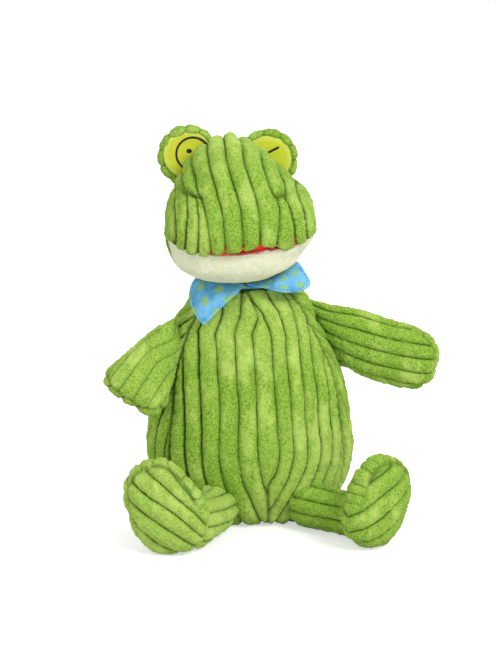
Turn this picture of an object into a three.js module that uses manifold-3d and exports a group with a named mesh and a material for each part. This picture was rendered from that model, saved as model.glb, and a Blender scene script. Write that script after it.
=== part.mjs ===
// A sitting plush frog with wide-wale covers, felt eyes, a cream chin and a dotted neckerchief.
// Millimetres, +Z up. The frog faces -Y, so its own left side is at +X.
// The origin is the middle of the flat seat, on the surface that the frog sits on.
import * as THREE from "three";
import { mergeVertices } from "three/addons/utils/BufferGeometryUtils.js";
import Module from "manifold-3d";

const wasm = await Module();
wasm.setup();

// Fabric
const seamGap = 0.3; // left between sewn neighbours
const coverWall = 2.5; // backing and pile of a cover
const waleWidth = 11.2; // one rib of the plush, valley to valley
const waleDepth = 1.6;
const cottonThickness = 1.2; // the neckerchief is doubled cotton
const feltThickness = 1.2;
const liningThickness = 1;
const threadHeight = 0.7; // embroidery stands this far off the felt
const threadWidth = 1.1;
const leastRadius = 0.7; // a form is never thinner than this about its middle
const cutOverrun = 6; // cuts run this far past what they open

// Torso
const torsoHeight = 137;
const torsoWidth = 120;
const torsoDepth = 92;
const torsoLean = -4; // the neck opening sits this far towards the frog's right
const pelletDepth = 22; // height of the pellet bag inside the seat

// Neck and neckerchief
const neckRadius = 17;
const neckTubeHeight = 2.6;
const neckBallRadius = 14;
const neckBallRise = 13; // centre of the ball above the torso's top
const bandWall = 5.2; // the cotton is rolled
const bandHeight = 3.2;
const collarWidth = 36; // of a neckerchief point where it leaves the band
const collarReach = 18; // out from the band
const collarDrop = 22; // the hanging point falls this far
const collarLift = 2; // the folded point's edges turn up this far

// Head
const headWidth = 88;
const headLength = 80; // scale of the outline from snout to back
const headHeight = 79; // chin to crown
const headTurn = 4; // degrees that the head is turned to the frog's left
const headShift = -2.2; // the head sits this far towards the frog's right of its neck
const crownLean = -6; // and its crown this much further
const crownLeanFrom = 35; // the lean grows between these heights above the neck ball's centre
const crownLeanTo = 66;
const chinDrop = 5.5; // underside below the neck ball's centre
const mouthHeight = 16; // mouth line above the neck ball's centre
const lipOverhang = 3;
const creamStart = 17; // the cream chin begins this far in front of the neck ball's centre

// Eyes
const podRadius = 17;
const podDepth = 12;
const feltRadius = 15;
const podBack = 16; // pod's back behind the neck ball's centre
const podSpread = 22.6;
const podShift = -7.9; // both pods sit towards the frog's right
const podRise = 56.9;
const podUneven = 1.4; // the right pod sits this much higher
const ringRadius = 9.5;
const pupilRadius = 2.1;
const dashLength = 7.4;
const dashSlant = 63; // degrees from upright
const ringPlace = [2.6, 0.8]; // to the frog's left of the pod's middle and above it
const pupilPlace = [0.8, 2.1];
const dashPlace = [3.1, 5.5];

// Arms
const armLength = 69;
const armHeight = 38;
const armThickness = 23;
const seamLean = 25; // degrees of the shoulder seams from upright
const leftArmRise = 107; // middle of the shoulder seam above the seat
const leftArmDroop = 15.5; // degrees below level
const leftArmForward = 8; // degrees in front of straight out
const leftRootShare = 1.25; // the root's height as a share of the arm's
const rightArmLength = 60;
const rightArmHeight = 34.5;
const rightArmRise = 112;
const rightArmDroop = 41;
const rightArmForward = 40;
const rightRootForward = 20; // the right arm is gathered this many degrees round the front
const rightRootShare = 0.55;
const rightArmTwist = 65; // degrees that the right hand is turned from its root
const leftArmTravel = [-20, 35]; // degrees back and forward
const rightArmTravel = [-35, 20];
const rootInside = 2; // the arms start this far inside the torso and are cut to it

// Legs and feet
const legRadius = 12.5;
const legRise = 14;
const legTaper = 0.92;
const footLength = 56;
const footWidth = 46;
const footThickness = 26;
const soleCut = 0.5; // the feet are flat this deep where they stand
const hipSwing = 15; // degrees of travel each way
const ankleSwing = 15;

// How finely the forms are stepped
const stepsPerWale = 3;
const torsoRings = 12;
const smoothSteps = 16;
const roundSteps = 24;
const limbRings = 9;
const headOutlineSteps = 24;
const hiddenOutlineSteps = 14;
const hiddenStations = 4;
const plainStations = 6;
const reachSteps = 45; // of the torso, where the limbs are cut to it
const facetRoom = 0.15; // the most that those steps cut off its roundness

const degrees = THREE.MathUtils.degToRad;
const lerp = THREE.MathUtils.lerp;
const vector = (x, y, z) => new THREE.Vector3(x, y, z);
const point2 = (x, y) => new THREE.Vector2(x, y);
const upright = vector(0, 0, 1);

// Solids

function solid(geometry) {
  const bare = new THREE.BufferGeometry().setAttribute("position", geometry.getAttribute("position"));
  bare.setIndex(geometry.getIndex());
  const merged = mergeVertices(bare, 1e-4);
  return new wasm.Manifold(
    new wasm.Mesh({
      numProp: 3,
      vertProperties: new Float32Array(merged.attributes.position.array),
      triVerts: new Uint32Array(merged.index.array),
    }),
  );
}

function geometryOf(shape) {
  const mesh = shape.getMesh();
  const positions = new Float32Array(mesh.numVert * 3);
  for (let i = 0; i < mesh.numVert; i++) {
    positions.set(mesh.vertProperties.subarray(i * mesh.numProp, i * mesh.numProp + 3), i * 3);
  }
  const geometry = new THREE.BufferGeometry();
  geometry.setAttribute("position", new THREE.BufferAttribute(positions, 3));
  geometry.setIndex(new THREE.BufferAttribute(new Uint32Array(mesh.triVerts), 1));
  const faceted = geometry.toNonIndexed();
  faceted.computeVertexNormals();
  return faceted;
}

// A closed body through a stack of rings. The rings turn left about the way they stack.
function bodyThrough(rings) {
  const around = rings[0].length;
  const positions = [];
  const index = [];
  for (const ring of rings) for (const point of ring) positions.push(...point.toArray());
  const middle = (ring) => ring.reduce((sum, point) => sum.add(point), vector(0, 0, 0)).divideScalar(around);
  const first = positions.push(...middle(rings[0]).toArray()) / 3 - 1;
  const last = positions.push(...middle(rings[rings.length - 1]).toArray()) / 3 - 1;
  const end = (rings.length - 1) * around;
  for (let i = 0; i < around; i++) {
    const j = (i + 1) % around;
    for (let row = 0; row < end; row += around) {
      index.push(row + i, row + j, row + around + j, row + i, row + around + j, row + around + i);
    }
    index.push(first, j, i, last, end + i, end + j);
  }
  const geometry = new THREE.BufferGeometry();
  geometry.setAttribute("position", new THREE.Float32BufferAttribute(positions, 3));
  geometry.setIndex(index);
  return solid(geometry);
}

// One ring of an ellipse. A wale's second step is its valley. A ring with no wales is smooth.
function ring(centre, sideways, upwards, { wales = 0, inset = 0, steps = smoothSteps } = {}) {
  if (wales) steps = wales * stepsPerWale;
  const a = Math.max(sideways.length() - inset, leastRadius);
  const b = Math.max(upwards.length() - inset, leastRadius);
  const pitch = (Math.PI * (a + b)) / Math.max(wales, 1);
  const depth = waleDepth * Math.min(1, pitch / waleWidth, a / armThickness);
  const across = sideways.clone().normalize();
  const up = upwards.clone().normalize();
  return Array.from({ length: steps }, (_, k) => {
    const angle = (2 * Math.PI * k) / steps;
    const sunk = wales && k % stepsPerWale === 1 ? depth : 0;
    return centre
      .clone()
      .addScaledVector(across, (a - sunk) * Math.cos(angle))
      .addScaledVector(up, (b - sunk) * Math.sin(angle));
  });
}

const walesRound = (width, height) => Math.round((Math.PI * (width + height)) / 2 / waleWidth);

// Rows of shares, read as a smooth curve.
function smoothRow(rows, t) {
  const curve = new THREE.CatmullRomCurve3(rows.map((row) => vector(...row)));
  return curve.getPoint(t).toArray();
}

const shifted = (shape, x, y, z) => shape.translate([x, y, z]);
const moved = (shape, by) => shape.translate(by.toArray());

function turned(shape, hinge, angle) {
  const matrix = new THREE.Matrix4()
    .makeTranslation(hinge.at.x, hinge.at.y, hinge.at.z)
    .multiply(new THREE.Matrix4().makeRotationAxis(hinge.axis, degrees(angle)))
    .multiply(new THREE.Matrix4().makeTranslation(-hinge.at.x, -hinge.at.y, -hinge.at.z));
  return shape.transform(matrix.elements);
}

// Takes from a piece what its neighbour would reach at each angle of the hinge between them.
function relieved(piece, neighbour, hinge, angles) {
  return angles.reduce((left, angle) => left.subtract(turned(neighbour, hinge, -angle)), piece);
}

function slab(lowX, highX, lowY, highY, lowZ, highZ) {
  const box = new THREE.BoxGeometry(highX - lowX, highY - lowY, highZ - lowZ);
  box.translate((lowX + highX) / 2, (lowY + highY) / 2, (lowZ + highZ) / 2);
  return solid(box);
}

// A sheet of even thickness through a grid of points.
function sheet(rows, thickness) {
  const height = rows.length;
  const width = rows[0].length;
  const clamp = THREE.MathUtils.clamp;
  const at = (r, c) => rows[clamp(r, 0, height - 1)][clamp(c, 0, width - 1)];
  const positions = [];
  for (const side of [0.5, -0.5]) {
    for (let r = 0; r < height; r++) {
      for (let c = 0; c < width; c++) {
        const down = at(r + 1, c).clone().sub(at(r - 1, c));
        const across = at(r, c + 1).clone().sub(at(r, c - 1));
        const normal = down.cross(across).normalize();
        positions.push(...at(r, c).clone().addScaledVector(normal, side * thickness).toArray());
      }
    }
  }
  const back = height * width;
  const index = [];
  const quad = (a, b, c, d) => index.push(a, b, c, a, c, d);
  for (let r = 0; r + 1 < height; r++) {
    for (let c = 0; c + 1 < width; c++) {
      const k = r * width + c;
      quad(k, k + width, k + width + 1, k + 1);
      quad(back + k, back + k + 1, back + k + width + 1, back + k + width);
    }
  }
  for (let c = 0; c + 1 < width; c++) {
    const k = (height - 1) * width + c;
    quad(c + 1, back + c + 1, back + c, c);
    quad(k, back + k, back + k + 1, k + 1);
  }
  for (let r = 0; r + 1 < height; r++) {
    const k = r * width;
    const e = k + width - 1;
    quad(k, back + k, back + k + width, k + width);
    quad(e + width, back + e + width, back + e, e);
  }
  const geometry = new THREE.BufferGeometry();
  geometry.setAttribute("position", new THREE.Float32BufferAttribute(positions, 3));
  geometry.setIndex(index);
  return solid(geometry);
}

// Materials

const pileGreen = new THREE.MeshStandardMaterial({ color: 0x8fb93e, roughness: 0.95, metalness: 0 });
const pileCream = new THREE.MeshStandardMaterial({ color: 0xe6e4c2, roughness: 0.95, metalness: 0 });
const feltYellow = new THREE.MeshStandardMaterial({ color: 0xccd64a, roughness: 0.9, metalness: 0 });
const liningRed = new THREE.MeshStandardMaterial({ color: 0xc8201c, roughness: 0.7, metalness: 0 });
const threadBlack = new THREE.MeshStandardMaterial({ color: 0x12100e, roughness: 0.6, metalness: 0 });
const cottonBlue = new THREE.MeshStandardMaterial({ color: 0x5fb4e4, roughness: 0.85, metalness: 0 });
const fibreWhite = new THREE.MeshStandardMaterial({ color: 0xf1efe8, roughness: 1, metalness: 0 });
const bagLinen = new THREE.MeshStandardMaterial({ color: 0xd9d2bf, roughness: 0.9, metalness: 0 });

const frog = new THREE.Group();

function add(name, shape, material, group = frog) {
  const mesh = new THREE.Mesh(geometryOf(shape), material);
  mesh.name = name;
  group.add(mesh);
}

function groupAt(place, parent = frog) {
  const group = new THREE.Group();
  group.position.copy(place);
  parent.add(group);
  return group;
}

// Takes a solid from the frog's frame into a group's own.
function into(group, shape) {
  group.updateWorldMatrix(true, false);
  return shape.transform(group.matrixWorld.clone().invert().elements);
}

// Torso: a pear that is widest a third of the way up. Each row is height, width and depth.
const torsoShares = [
  [0, 0.6, 0.56],
  [0.03, 0.76, 0.72],
  [0.09, 0.88, 0.87],
  [0.18, 0.96, 0.97],
  [0.29, 1, 1],
  [0.4, 0.98, 0.97],
  [0.51, 0.945, 0.91],
  [0.62, 0.9, 0.845],
  [0.715, 0.83, 0.78],
  [0.82, 0.71, 0.69],
  [0.91, 0.56, 0.6],
  [0.97, 0.46, 0.53],
  [1, 0.41, 0.5],
];
const leanFromShare = 0.5; // the lean grows from here to the top
const torsoCentre = (share) => torsoLean * Math.max(0, (share - leanFromShare) / (1 - leanFromShare));

function torsoForm(style = {}) {
  const rings = [];
  for (let i = 0; i < torsoRings; i++) {
    const [height, width, depth] = smoothRow(torsoShares, i / (torsoRings - 1));
    const centre = vector(torsoCentre(height), 0, height * torsoHeight);
    const sideways = vector((width * torsoWidth) / 2, 0, 0);
    rings.push(ring(centre, sideways, vector(0, (depth * torsoDepth) / 2, 0), style));
  }
  return bodyThrough(rings);
}

// The point of the torso's side at a height, taken round towards the front by an angle.
function torsoPoint(height, side, forward) {
  const share = height / torsoHeight;
  const next = torsoShares.findIndex((row) => row[0] > share);
  const low = torsoShares[next - 1];
  const high = torsoShares[next];
  const mix = (share - low[0]) / (high[0] - low[0]);
  const halfWidth = (lerp(low[1], high[1], mix) * torsoWidth) / 2;
  const halfDepth = (lerp(low[2], high[2], mix) * torsoDepth) / 2;
  const angle = degrees(forward);
  const sideways = torsoCentre(share) + side * halfWidth * Math.cos(angle);
  return vector(sideways, -halfDepth * Math.sin(angle), height);
}

const span = torsoWidth + torsoDepth;
const between = (lowZ, highZ) => slab(-span, span, -span, span, lowZ, highZ);

const torsoOuter = torsoForm({ wales: walesRound(torsoWidth, torsoDepth) });
const torsoReach = torsoForm({ inset: -seamGap - facetRoom, steps: reachSteps });
const torsoInside = torsoForm({ inset: coverWall + waleDepth });
const neckHole = shifted(torsoInside, 0, 0, cutOverrun).intersect(
  between(torsoHeight - cutOverrun, torsoHeight + cutOverrun),
);
const torsoHollow = torsoInside.intersect(between(coverWall, torsoHeight)).add(neckHole);
add("torso_cover", torsoOuter.subtract(torsoHollow), pileGreen);

const packed = torsoForm({ inset: coverWall + waleDepth + seamGap });
const bagTop = coverWall + pelletDepth;
add("seat_pellet_bag", packed.intersect(between(coverWall + seamGap, bagTop)), bagLinen);
add("torso_filling", packed.intersect(between(bagTop + seamGap, torsoHeight)), fibreWhite);

// Neck: a short stuffed tube with a round top that the head rocks on
const neckX = torsoLean;
const neckLow = torsoHeight + seamGap;
const ballCentre = vector(neckX, 0, torsoHeight + neckBallRise);
const neckGroup = groupAt(vector(neckX, 0, neckLow));

function uprightLathe(points) {
  const lathe = new THREE.LatheGeometry(points, roundSteps);
  lathe.rotateX(Math.PI / 2);
  return solid(lathe);
}

function neckForm() {
  const ballRise = ballCentre.z - neckLow;
  const startAngle = -Math.asin((ballRise - neckTubeHeight) / neckBallRadius);
  const points = [point2(0, 0), point2(neckRadius, 0), point2(neckRadius, neckTubeHeight)];
  const arcSteps = 7;
  for (let k = 0; k <= arcSteps; k++) {
    const angle = lerp(startAngle, Math.PI / 2, k / arcSteps);
    const out = k === arcSteps ? 0 : neckBallRadius * Math.cos(angle);
    points.push(point2(out, ballRise + neckBallRadius * Math.sin(angle)));
  }
  return uprightLathe(points);
}
add("neck", neckForm(), pileGreen, neckGroup);

// Neckerchief: a band round the neck and two points
const bandInner = neckRadius + seamGap;
const bandOuter = bandInner + bandWall;

function bandForm() {
  const corners = [
    point2(bandInner, 0),
    point2(bandOuter, 0),
    point2(bandOuter, bandHeight),
    point2(bandInner, bandHeight),
    point2(bandInner, 0),
  ];
  return uprightLathe(corners);
}
add("neckerchief_band", bandForm(), cottonBlue, neckGroup);

// Each row of a point is how far out, how far down and how wide, then where its middle is round the neck.
const hangingShares = [
  [0, 0, 0.8, 0],
  [0.2, 0.12, 0.94, 0],
  [0.45, 0.35, 0.86, -0.03],
  [0.62, 0.6, 0.62, -0.08],
  [0.75, 0.82, 0.36, -0.14],
  [0.85, 1, 0.12, -0.18],
];
const foldedShares = [
  [0, 0, 0.8, 0],
  [0.25, 0.02, 0.96, 0],
  [0.5, 0.05, 0.98, 0.05],
  [0.75, 0.1, 0.8, 0.1],
  [0.95, 0.16, 0.55, 0.15],
  [1.1, 0.24, 0.3, 0.2],
];
const pointColumns = 7;

function pointForm(shares, side, middle, lift) {
  const radius = bandOuter + seamGap + cottonThickness / 2;
  const start = bandHeight - cottonThickness / 2;
  const grid = shares.map(([out, down, width, round]) =>
    Array.from({ length: pointColumns }, (_, c) => {
      const acrossShare = c / (pointColumns - 1) - 0.5;
      const distance = radius + out * collarReach;
      const angle = degrees(middle * (1 + round)) - (acrossShare * width * collarWidth) / distance;
      const rise = start - down * collarDrop + lift * acrossShare * acrossShare;
      return vector(side * distance * Math.sin(angle), -distance * Math.cos(angle), rise);
    }),
  );
  if (side > 0) for (const row of grid) row.reverse();
  return sheet(grid, cottonThickness);
}
const hangingMiddle = 42; // degrees round from the front
const foldedMiddle = 52;
const hanging = pointForm(hangingShares, -1, hangingMiddle, 0);
add("neckerchief_point_right", hanging, cottonBlue, neckGroup);
const folded = pointForm(foldedShares, 1, foldedMiddle, collarLift);
add("neckerchief_point_left", folded, cottonBlue, neckGroup);

// Head: one outline in the YZ plane, shrunk towards its middle out to the cheeks.
// Each row is back-to-front and height, as shares of the head's length and height.
const headOutlineShares = [
  [0.32, 0.44],
  [0.3, 0.64],
  [0.21, 0.84],
  [0.05, 0.97],
  [-0.12, 1],
  [-0.32, 0.935],
  [-0.5, 0.8],
  [-0.62, 0.6],
  [-0.675, 0.4],
  [-0.65, 0.25],
  [-0.575, 0.1],
  [-0.45, 0.01],
  [-0.2, 0],
  [0.08, 0],
  [0.25, 0.08],
  [0.325, 0.24],
];
const headMiddleShare = [-0.15, 0.38];
const crownRound = 1.6; // how round the head is from cheek to cheek
const crownFullness = 0.7;
const jawFullness = 3;
const planFullness = 2.3;
const cheekShares = [0.93, 0.97, 0.995];

function headForm({ wales = false, inset = 0, hidden = false } = {}) {
  const halfWidth = headWidth / 2 - inset;
  const middle = vector(0, headMiddleShare[0] * headLength, headMiddleShare[1] * headHeight - chinDrop);
  const outline = new THREE.CatmullRomCurve3(
    headOutlineShares.map(([y, z]) => vector(0, y * headLength, z * headHeight - chinDrop)),
    true,
  );
  const around = hidden ? hiddenOutlineSteps : headOutlineSteps;
  const base = Array.from({ length: around }, (_, k) => outline.getPoint(k / around));
  const reach = cheekShares[0] * halfWidth;
  const step = waleWidth / stepsPerWale;
  const plain = hidden ? hiddenStations : plainStations;
  const sideSteps = wales ? Math.floor(reach / step) : plain;
  const stations = [];
  for (let k = -sideSteps; k <= sideSteps; k++) {
    const x = wales ? k * step : (k * reach) / (sideSteps + 1);
    stations.push({ x, sunk: wales && Math.abs(k) % stepsPerWale === 2 ? waleDepth : 0 });
  }
  for (const share of cheekShares) {
    stations.push({ x: share * halfWidth, sunk: 0 });
    stations.unshift({ x: -share * halfWidth, sunk: 0 });
  }
  const rings = stations.map(({ x, sunk }) => {
    const u = Math.abs(x) / halfWidth;
    const crownScale = (1 - u ** crownRound) ** crownFullness;
    const jawScale = (1 - u ** jawFullness) ** (1 / jawFullness);
    const planScale = (1 - u ** planFullness) ** (1 / planFullness);
    return base.map((point) => {
      const out = point.clone().sub(middle);
      const shrink = 1 - (inset + sunk) / Math.max(out.length(), 1);
      const rise = out.z * (out.z > 0 ? crownScale : jawScale);
      const height = middle.z + rise * shrink;
      const lean = crownLean * THREE.MathUtils.smoothstep(height, crownLeanFrom, crownLeanTo);
      return vector(x + headShift + lean, middle.y + out.y * planScale * shrink, height);
    });
  });
  return bodyThrough(rings);
}

const headGroup = groupAt(ballCentre);
headGroup.rotation.z = degrees(headTurn);
const addToHead = (name, shape, material) => add(name, shape, material, headGroup);
const headSlice = (lowZ, highZ) => slab(-span, span, -span, span, lowZ, highZ);
const headWall = coverWall + waleDepth;
const mouthTop = mouthHeight + seamGap / 2;
const mouthLow = mouthHeight - seamGap / 2;

const upperHollow = headForm({ inset: headWall, hidden: true });
const upperInside = upperHollow.intersect(headSlice(mouthHeight - cutOverrun, span));
const upperCover = headForm({ wales: true }).intersect(headSlice(mouthTop, span)).subtract(upperInside);
addToHead("head_cover", upperCover, pileGreen);
const upperPacked = headForm({ inset: headWall + seamGap, hidden: true });
const liningTop = mouthTop + liningThickness;
addToHead("mouth_lining_upper", upperPacked.intersect(headSlice(mouthTop, liningTop)), liningRed);
addToHead("head_filling", upperPacked.intersect(headSlice(liningTop + seamGap, span)), fibreWhite);

// Below the mouth line: the green underside on the neck, then the cream chin in front of it
const seat = (radius, steps) => solid(new THREE.SphereGeometry(radius, steps, steps / 2));
const neckSeat = seat(neckBallRadius + seamGap, roundSteps);
const fillingSeat = seat(neckBallRadius + coverWall, smoothSteps);
const lowerOuter = headForm({ inset: lipOverhang });
const lowerInside = headForm({ inset: lipOverhang + coverWall, hidden: true });
const lowerPacked = headForm({ inset: lipOverhang + coverWall + seamGap, hidden: true });
const behindChin = slab(-span, span, -creamStart + seamGap / 2, span, -span, mouthLow);
const chinTop = mouthLow - liningThickness - seamGap;
const inChin = slab(-span, span, -span, -creamStart - seamGap / 2, -span, chinTop);
const lowerOpen = lowerInside.intersect(headSlice(-span, mouthHeight + cutOverrun));

const undersideShell = lowerOuter.intersect(behindChin).subtract(lowerOpen);
addToHead("underside_cover", undersideShell.subtract(neckSeat), pileGreen);
addToHead("underside_filling", lowerPacked.intersect(behindChin).subtract(fillingSeat), fibreWhite);
addToHead("chin_cover", lowerOuter.intersect(inChin).subtract(lowerOpen), pileCream);
addToHead("chin_filling", lowerPacked.intersect(inChin), fibreWhite);
const liningSlice = slab(-span, span, -span, -creamStart - seamGap / 2, mouthLow - liningThickness, mouthLow);
addToHead("mouth_lining_lower", lowerOuter.intersect(liningSlice), liningRed);

// Eyes: stuffed pods behind the crown, each with a felt disc and embroidery
const headReach = headForm({ inset: -seamGap });
const latheAboutY = (points) => solid(new THREE.LatheGeometry(points, roundSteps));

function podForm() {
  const arc = 5;
  const points = [point2(0, 0), point2(podRadius, 0)];
  for (let k = 1; k <= arc; k++) {
    const angle = (k / arc) * (Math.PI / 2);
    points.push(point2(k === arc ? 0 : podRadius * Math.cos(angle), podDepth * Math.sin(angle)));
  }
  return latheAboutY(points);
}

function discForm(radius, height) {
  return latheAboutY([point2(0, -height), point2(radius, -height), point2(radius, 0), point2(0, 0)]);
}

function ringForm() {
  const low = ringRadius - threadWidth / 2;
  const high = ringRadius + threadWidth / 2;
  return latheAboutY([
    point2(low, -threadHeight),
    point2(high, -threadHeight),
    point2(high, 0),
    point2(low, 0),
    point2(low, -threadHeight),
  ]);
}

function dashForm() {
  const dash = new THREE.CapsuleGeometry(threadWidth / 2, dashLength - threadWidth, 3, 8);
  dash.scale(1, 1, threadHeight / threadWidth);
  dash.rotateX(Math.PI / 2);
  dash.rotateY(degrees(dashSlant));
  dash.translate(0, -threadHeight / 2, 0);
  return solid(dash);
}

const podFront = podBack - podDepth / 2;
const threadFront = -feltThickness - 2 * seamGap;

function addEye(side, x, z, marks) {
  const eyeGroup = groupAt(vector(x, podFront, z), headGroup);
  const onCrown = shifted(headReach, -x, -podFront, -z);
  const addToEye = (name, shape, material) => add(name, shape.subtract(onCrown), material, eyeGroup);
  addToEye(`eye_pod_${side}`, podForm(), pileGreen);
  const felt = discForm(feltRadius, feltThickness);
  addToEye(`eye_felt_${side}`, shifted(felt, 0, -seamGap, 0), feltYellow);
  for (const { name, shape, place } of marks) {
    addToEye(name, shifted(shape, place[0], threadFront, place[1]), threadBlack);
  }
}

addEye("right", podShift - podSpread, podRise + podUneven, [
  { name: "eye_ring_right", shape: ringForm(), place: ringPlace },
  { name: "eye_pupil_right", shape: discForm(pupilRadius, threadHeight), place: pupilPlace },
]);
addEye("left", podShift + podSpread, podRise - podUneven, [
  { name: "eye_dash_left", shape: dashForm(), place: dashPlace },
]);

// Arms: flat paddles. Each row is along, height and thickness.
const armShares = [
  [0, 0.95, 0.12],
  [0.08, 0.93, 0.42],
  [0.22, 0.92, 0.82],
  [0.45, 0.97, 1],
  [0.68, 1, 0.98],
  [0.84, 0.9, 0.86],
  [0.94, 0.68, 0.62],
  [0.99, 0.38, 0.34],
  [1, 0.08, 0.08],
];
const fillingFrom = 0.3; // a limb's filling starts this far along

// A limb of rings along a straight way, its height turning from one direction to another.
// What lies inside a closed limb stays clear of both its ends.
function limbForm({ root, way, rootUp, tipUp, shares, wales, closed, inset = 0, from = 0, ...size }) {
  const { length, height, thickness } = size;
  const style = { wales, inset };
  const start = closed ? inset : 0;
  const rings = [];
  for (let i = 0; i < limbRings; i++) {
    const [along, tall, thick] = smoothRow(shares, i / (limbRings - 1));
    if (along < from) continue;
    const up = rootUp.clone().lerp(tipUp, THREE.MathUtils.smoothstep(along, 0, 0.6)).normalize();
    const across = up.clone().cross(way).normalize();
    const centre = root.clone().addScaledVector(way, lerp(start, length - inset, along));
    up.multiplyScalar((tall * height) / 2);
    rings.push(ring(centre, across.multiplyScalar((thick * thickness) / 2), up, style));
  }
  return bodyThrough(rings);
}

const heading = (side, forward, droop) =>
  vector(
    side * Math.cos(degrees(forward)) * Math.cos(degrees(droop)),
    -Math.sin(degrees(forward)) * Math.cos(degrees(droop)),
    -Math.sin(degrees(droop)),
  );
const squareTo = (way, direction) => direction.clone().addScaledVector(way, -direction.dot(way)).normalize();

function addArm(side, place) {
  const outward = side === "left" ? 1 : -1;
  const at = torsoPoint(place.rise, outward, place.rootForward);
  const round = degrees(-outward * place.rootForward);
  const seam = vector(-outward * Math.sin(degrees(seamLean)), 0, Math.cos(degrees(seamLean)));
  seam.applyAxisAngle(upright, round);
  const hinge = { at, axis: seam.clone().multiplyScalar(-outward) };
  const way = heading(outward, place.forward, place.droop);
  const tipUp = squareTo(way, seam).applyAxisAngle(way, degrees(place.twist));
  const rootUp = place.twist ? squareTo(way, seam) : seam;
  const shares = armShares.map(([along, tall, thick]) => {
    return [along, tall * lerp(1, place.rootShare, (1 - along) ** 2), thick];
  });
  const wales = walesRound(place.height, armThickness);
  const root = at.clone().addScaledVector(way, -rootInside);
  const size = { length: place.length, height: place.height, thickness: armThickness };
  const limb = (extra) => limbForm({ root, way, rootUp, tipUp, shares, ...size, ...extra });
  const [back, front] = place.travel;
  const angles = [back, 0, front / 2, front];
  const clear = (shape) => relieved(shape, torsoReach, hinge, angles);
  const inside = limb({ wales: 0, inset: coverWall + waleDepth });
  const hollow = moved(inside, way.clone().multiplyScalar(-seamGap));
  const shoulder = groupAt(at);
  add(`arm_cover_${side}`, into(shoulder, clear(limb({ wales })).subtract(hollow)), pileGreen, shoulder);
  const filling = limb({ wales: 0, inset: coverWall + waleDepth + seamGap, from: fillingFrom });
  add(`arm_filling_${side}`, into(shoulder, clear(filling)), fibreWhite, shoulder);
}

addArm("left", {
  rise: leftArmRise,
  rootForward: 0,
  length: armLength,
  height: armHeight,
  rootShare: leftRootShare,
  droop: leftArmDroop,
  forward: leftArmForward,
  travel: leftArmTravel,
  twist: 0,
});
addArm("right", {
  rise: rightArmRise,
  rootForward: rightRootForward,
  length: rightArmLength,
  height: rightArmHeight,
  rootShare: rightRootShare,
  droop: rightArmDroop,
  forward: rightArmForward,
  travel: rightArmTravel,
  twist: rightArmTwist,
});

// Legs and feet: a short tube forward along the floor and a paddle standing on its edge
const footShares = [
  [0, 0.1, 0.12],
  [0.03, 0.42, 0.45],
  [0.12, 0.74, 0.8],
  [0.3, 0.96, 1],
  [0.5, 1, 1],
  [0.7, 0.97, 0.96],
  [0.87, 0.78, 0.78],
  [0.97, 0.45, 0.45],
  [1, 0.1, 0.12],
];
const legPlaces = {
  left: { hip: [32.7, -32.7], ankle: [61.6, -54], foot: [71, -63], faces: [0.72, -0.69], lean: 60 },
  right: { hip: [-20, -38], ankle: [-29, -66], foot: [-46.5, -76.5], faces: [-0.2, -0.98], lean: 105 },
};

function addLeg(side) {
  const place = legPlaces[side];
  const hip = { at: vector(...place.hip, legRise), axis: upright };
  const ankle = { at: vector(...place.ankle, legRise), axis: upright };
  const faces = vector(...place.faces, 0).normalize();
  const level = vector(-faces.y, faces.x, 0);
  const lean = degrees(place.lean);
  const way = level.clone().multiplyScalar(Math.cos(lean)).addScaledVector(upright, Math.sin(lean));
  const widthWay = faces.clone().cross(way);
  const halfRise = Math.hypot((footLength / 2) * way.z, (footWidth / 2) * widthWay.z);
  const centre = vector(...place.foot, halfRise - soleCut);
  const foot = (extra) =>
    limbForm({
      root: centre.clone().addScaledVector(way, -footLength / 2),
      way,
      length: footLength,
      rootUp: widthWay,
      tipUp: widthWay,
      height: footWidth,
      thickness: footThickness,
      shares: footShares,
      closed: true,
      ...extra,
    });
  const floor = slab(-span, span, -span, span, -span, 0);
  const footOuter = foot({ wales: walesRound(footWidth, footThickness) }).subtract(floor);
  const legWay = ankle.at.clone().sub(hip.at);
  const legLength = legWay.length();
  legWay.normalize();
  const across = upright.clone().cross(legWay);
  const leg = (radius, before, after) =>
    bodyThrough(
      [0, 0.5, 1].map((share) => {
        const size = radius * lerp(1, legTaper, share);
        const at = hip.at.clone().addScaledVector(legWay, lerp(-before, legLength + after, share));
        return ring(at, across.clone().multiplyScalar(size), upright.clone().multiplyScalar(size));
      }),
    );
  const footReach = foot({ wales: 0, inset: -seamGap });
  const legClear = (shape) => {
    const offTorso = relieved(shape, torsoReach, hip, [-hipSwing, 0, hipSwing]);
    return relieved(offTorso, footReach, ankle, [-ankleSwing, 0, ankleSwing]);
  };
  const legOuter = legClear(leg(legRadius, legRadius, footThickness / 2));
  const legHollow = leg(legRadius - coverWall, 2 * legRadius, footThickness);
  const legGroup = groupAt(hip.at);
  add(`leg_cover_${side}`, into(legGroup, legOuter.subtract(legHollow)), pileGreen, legGroup);
  const legPacked = leg(legRadius - coverWall - seamGap, legRadius, footThickness / 2);
  add(`leg_filling_${side}`, into(legGroup, legClear(legPacked)), fibreWhite, legGroup);
  const hollow = foot({ wales: 0, inset: coverWall + waleDepth });
  const mouth = leg(legRadius / 2, -legLength / 2, footThickness / 2 - coverWall);
  const footGroup = groupAt(ankle.at.clone().sub(hip.at), legGroup);
  const footShell = footOuter.subtract(hollow).subtract(mouth);
  add(`foot_cover_${side}`, into(footGroup, footShell), pileGreen, footGroup);
  const footPacked = foot({ wales: 0, inset: coverWall + waleDepth + seamGap });
  add(`foot_filling_${side}`, into(footGroup, footPacked), fibreWhite, footGroup);
}
addLeg("left");
addLeg("right");

export default frog;
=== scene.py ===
# Plush frog: each cover is a ball whose points are moved and then ribbed like wide-wale plush
import math

import bmesh
import bpy
import numpy as np
from mathutils import Matrix, Vector


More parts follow.
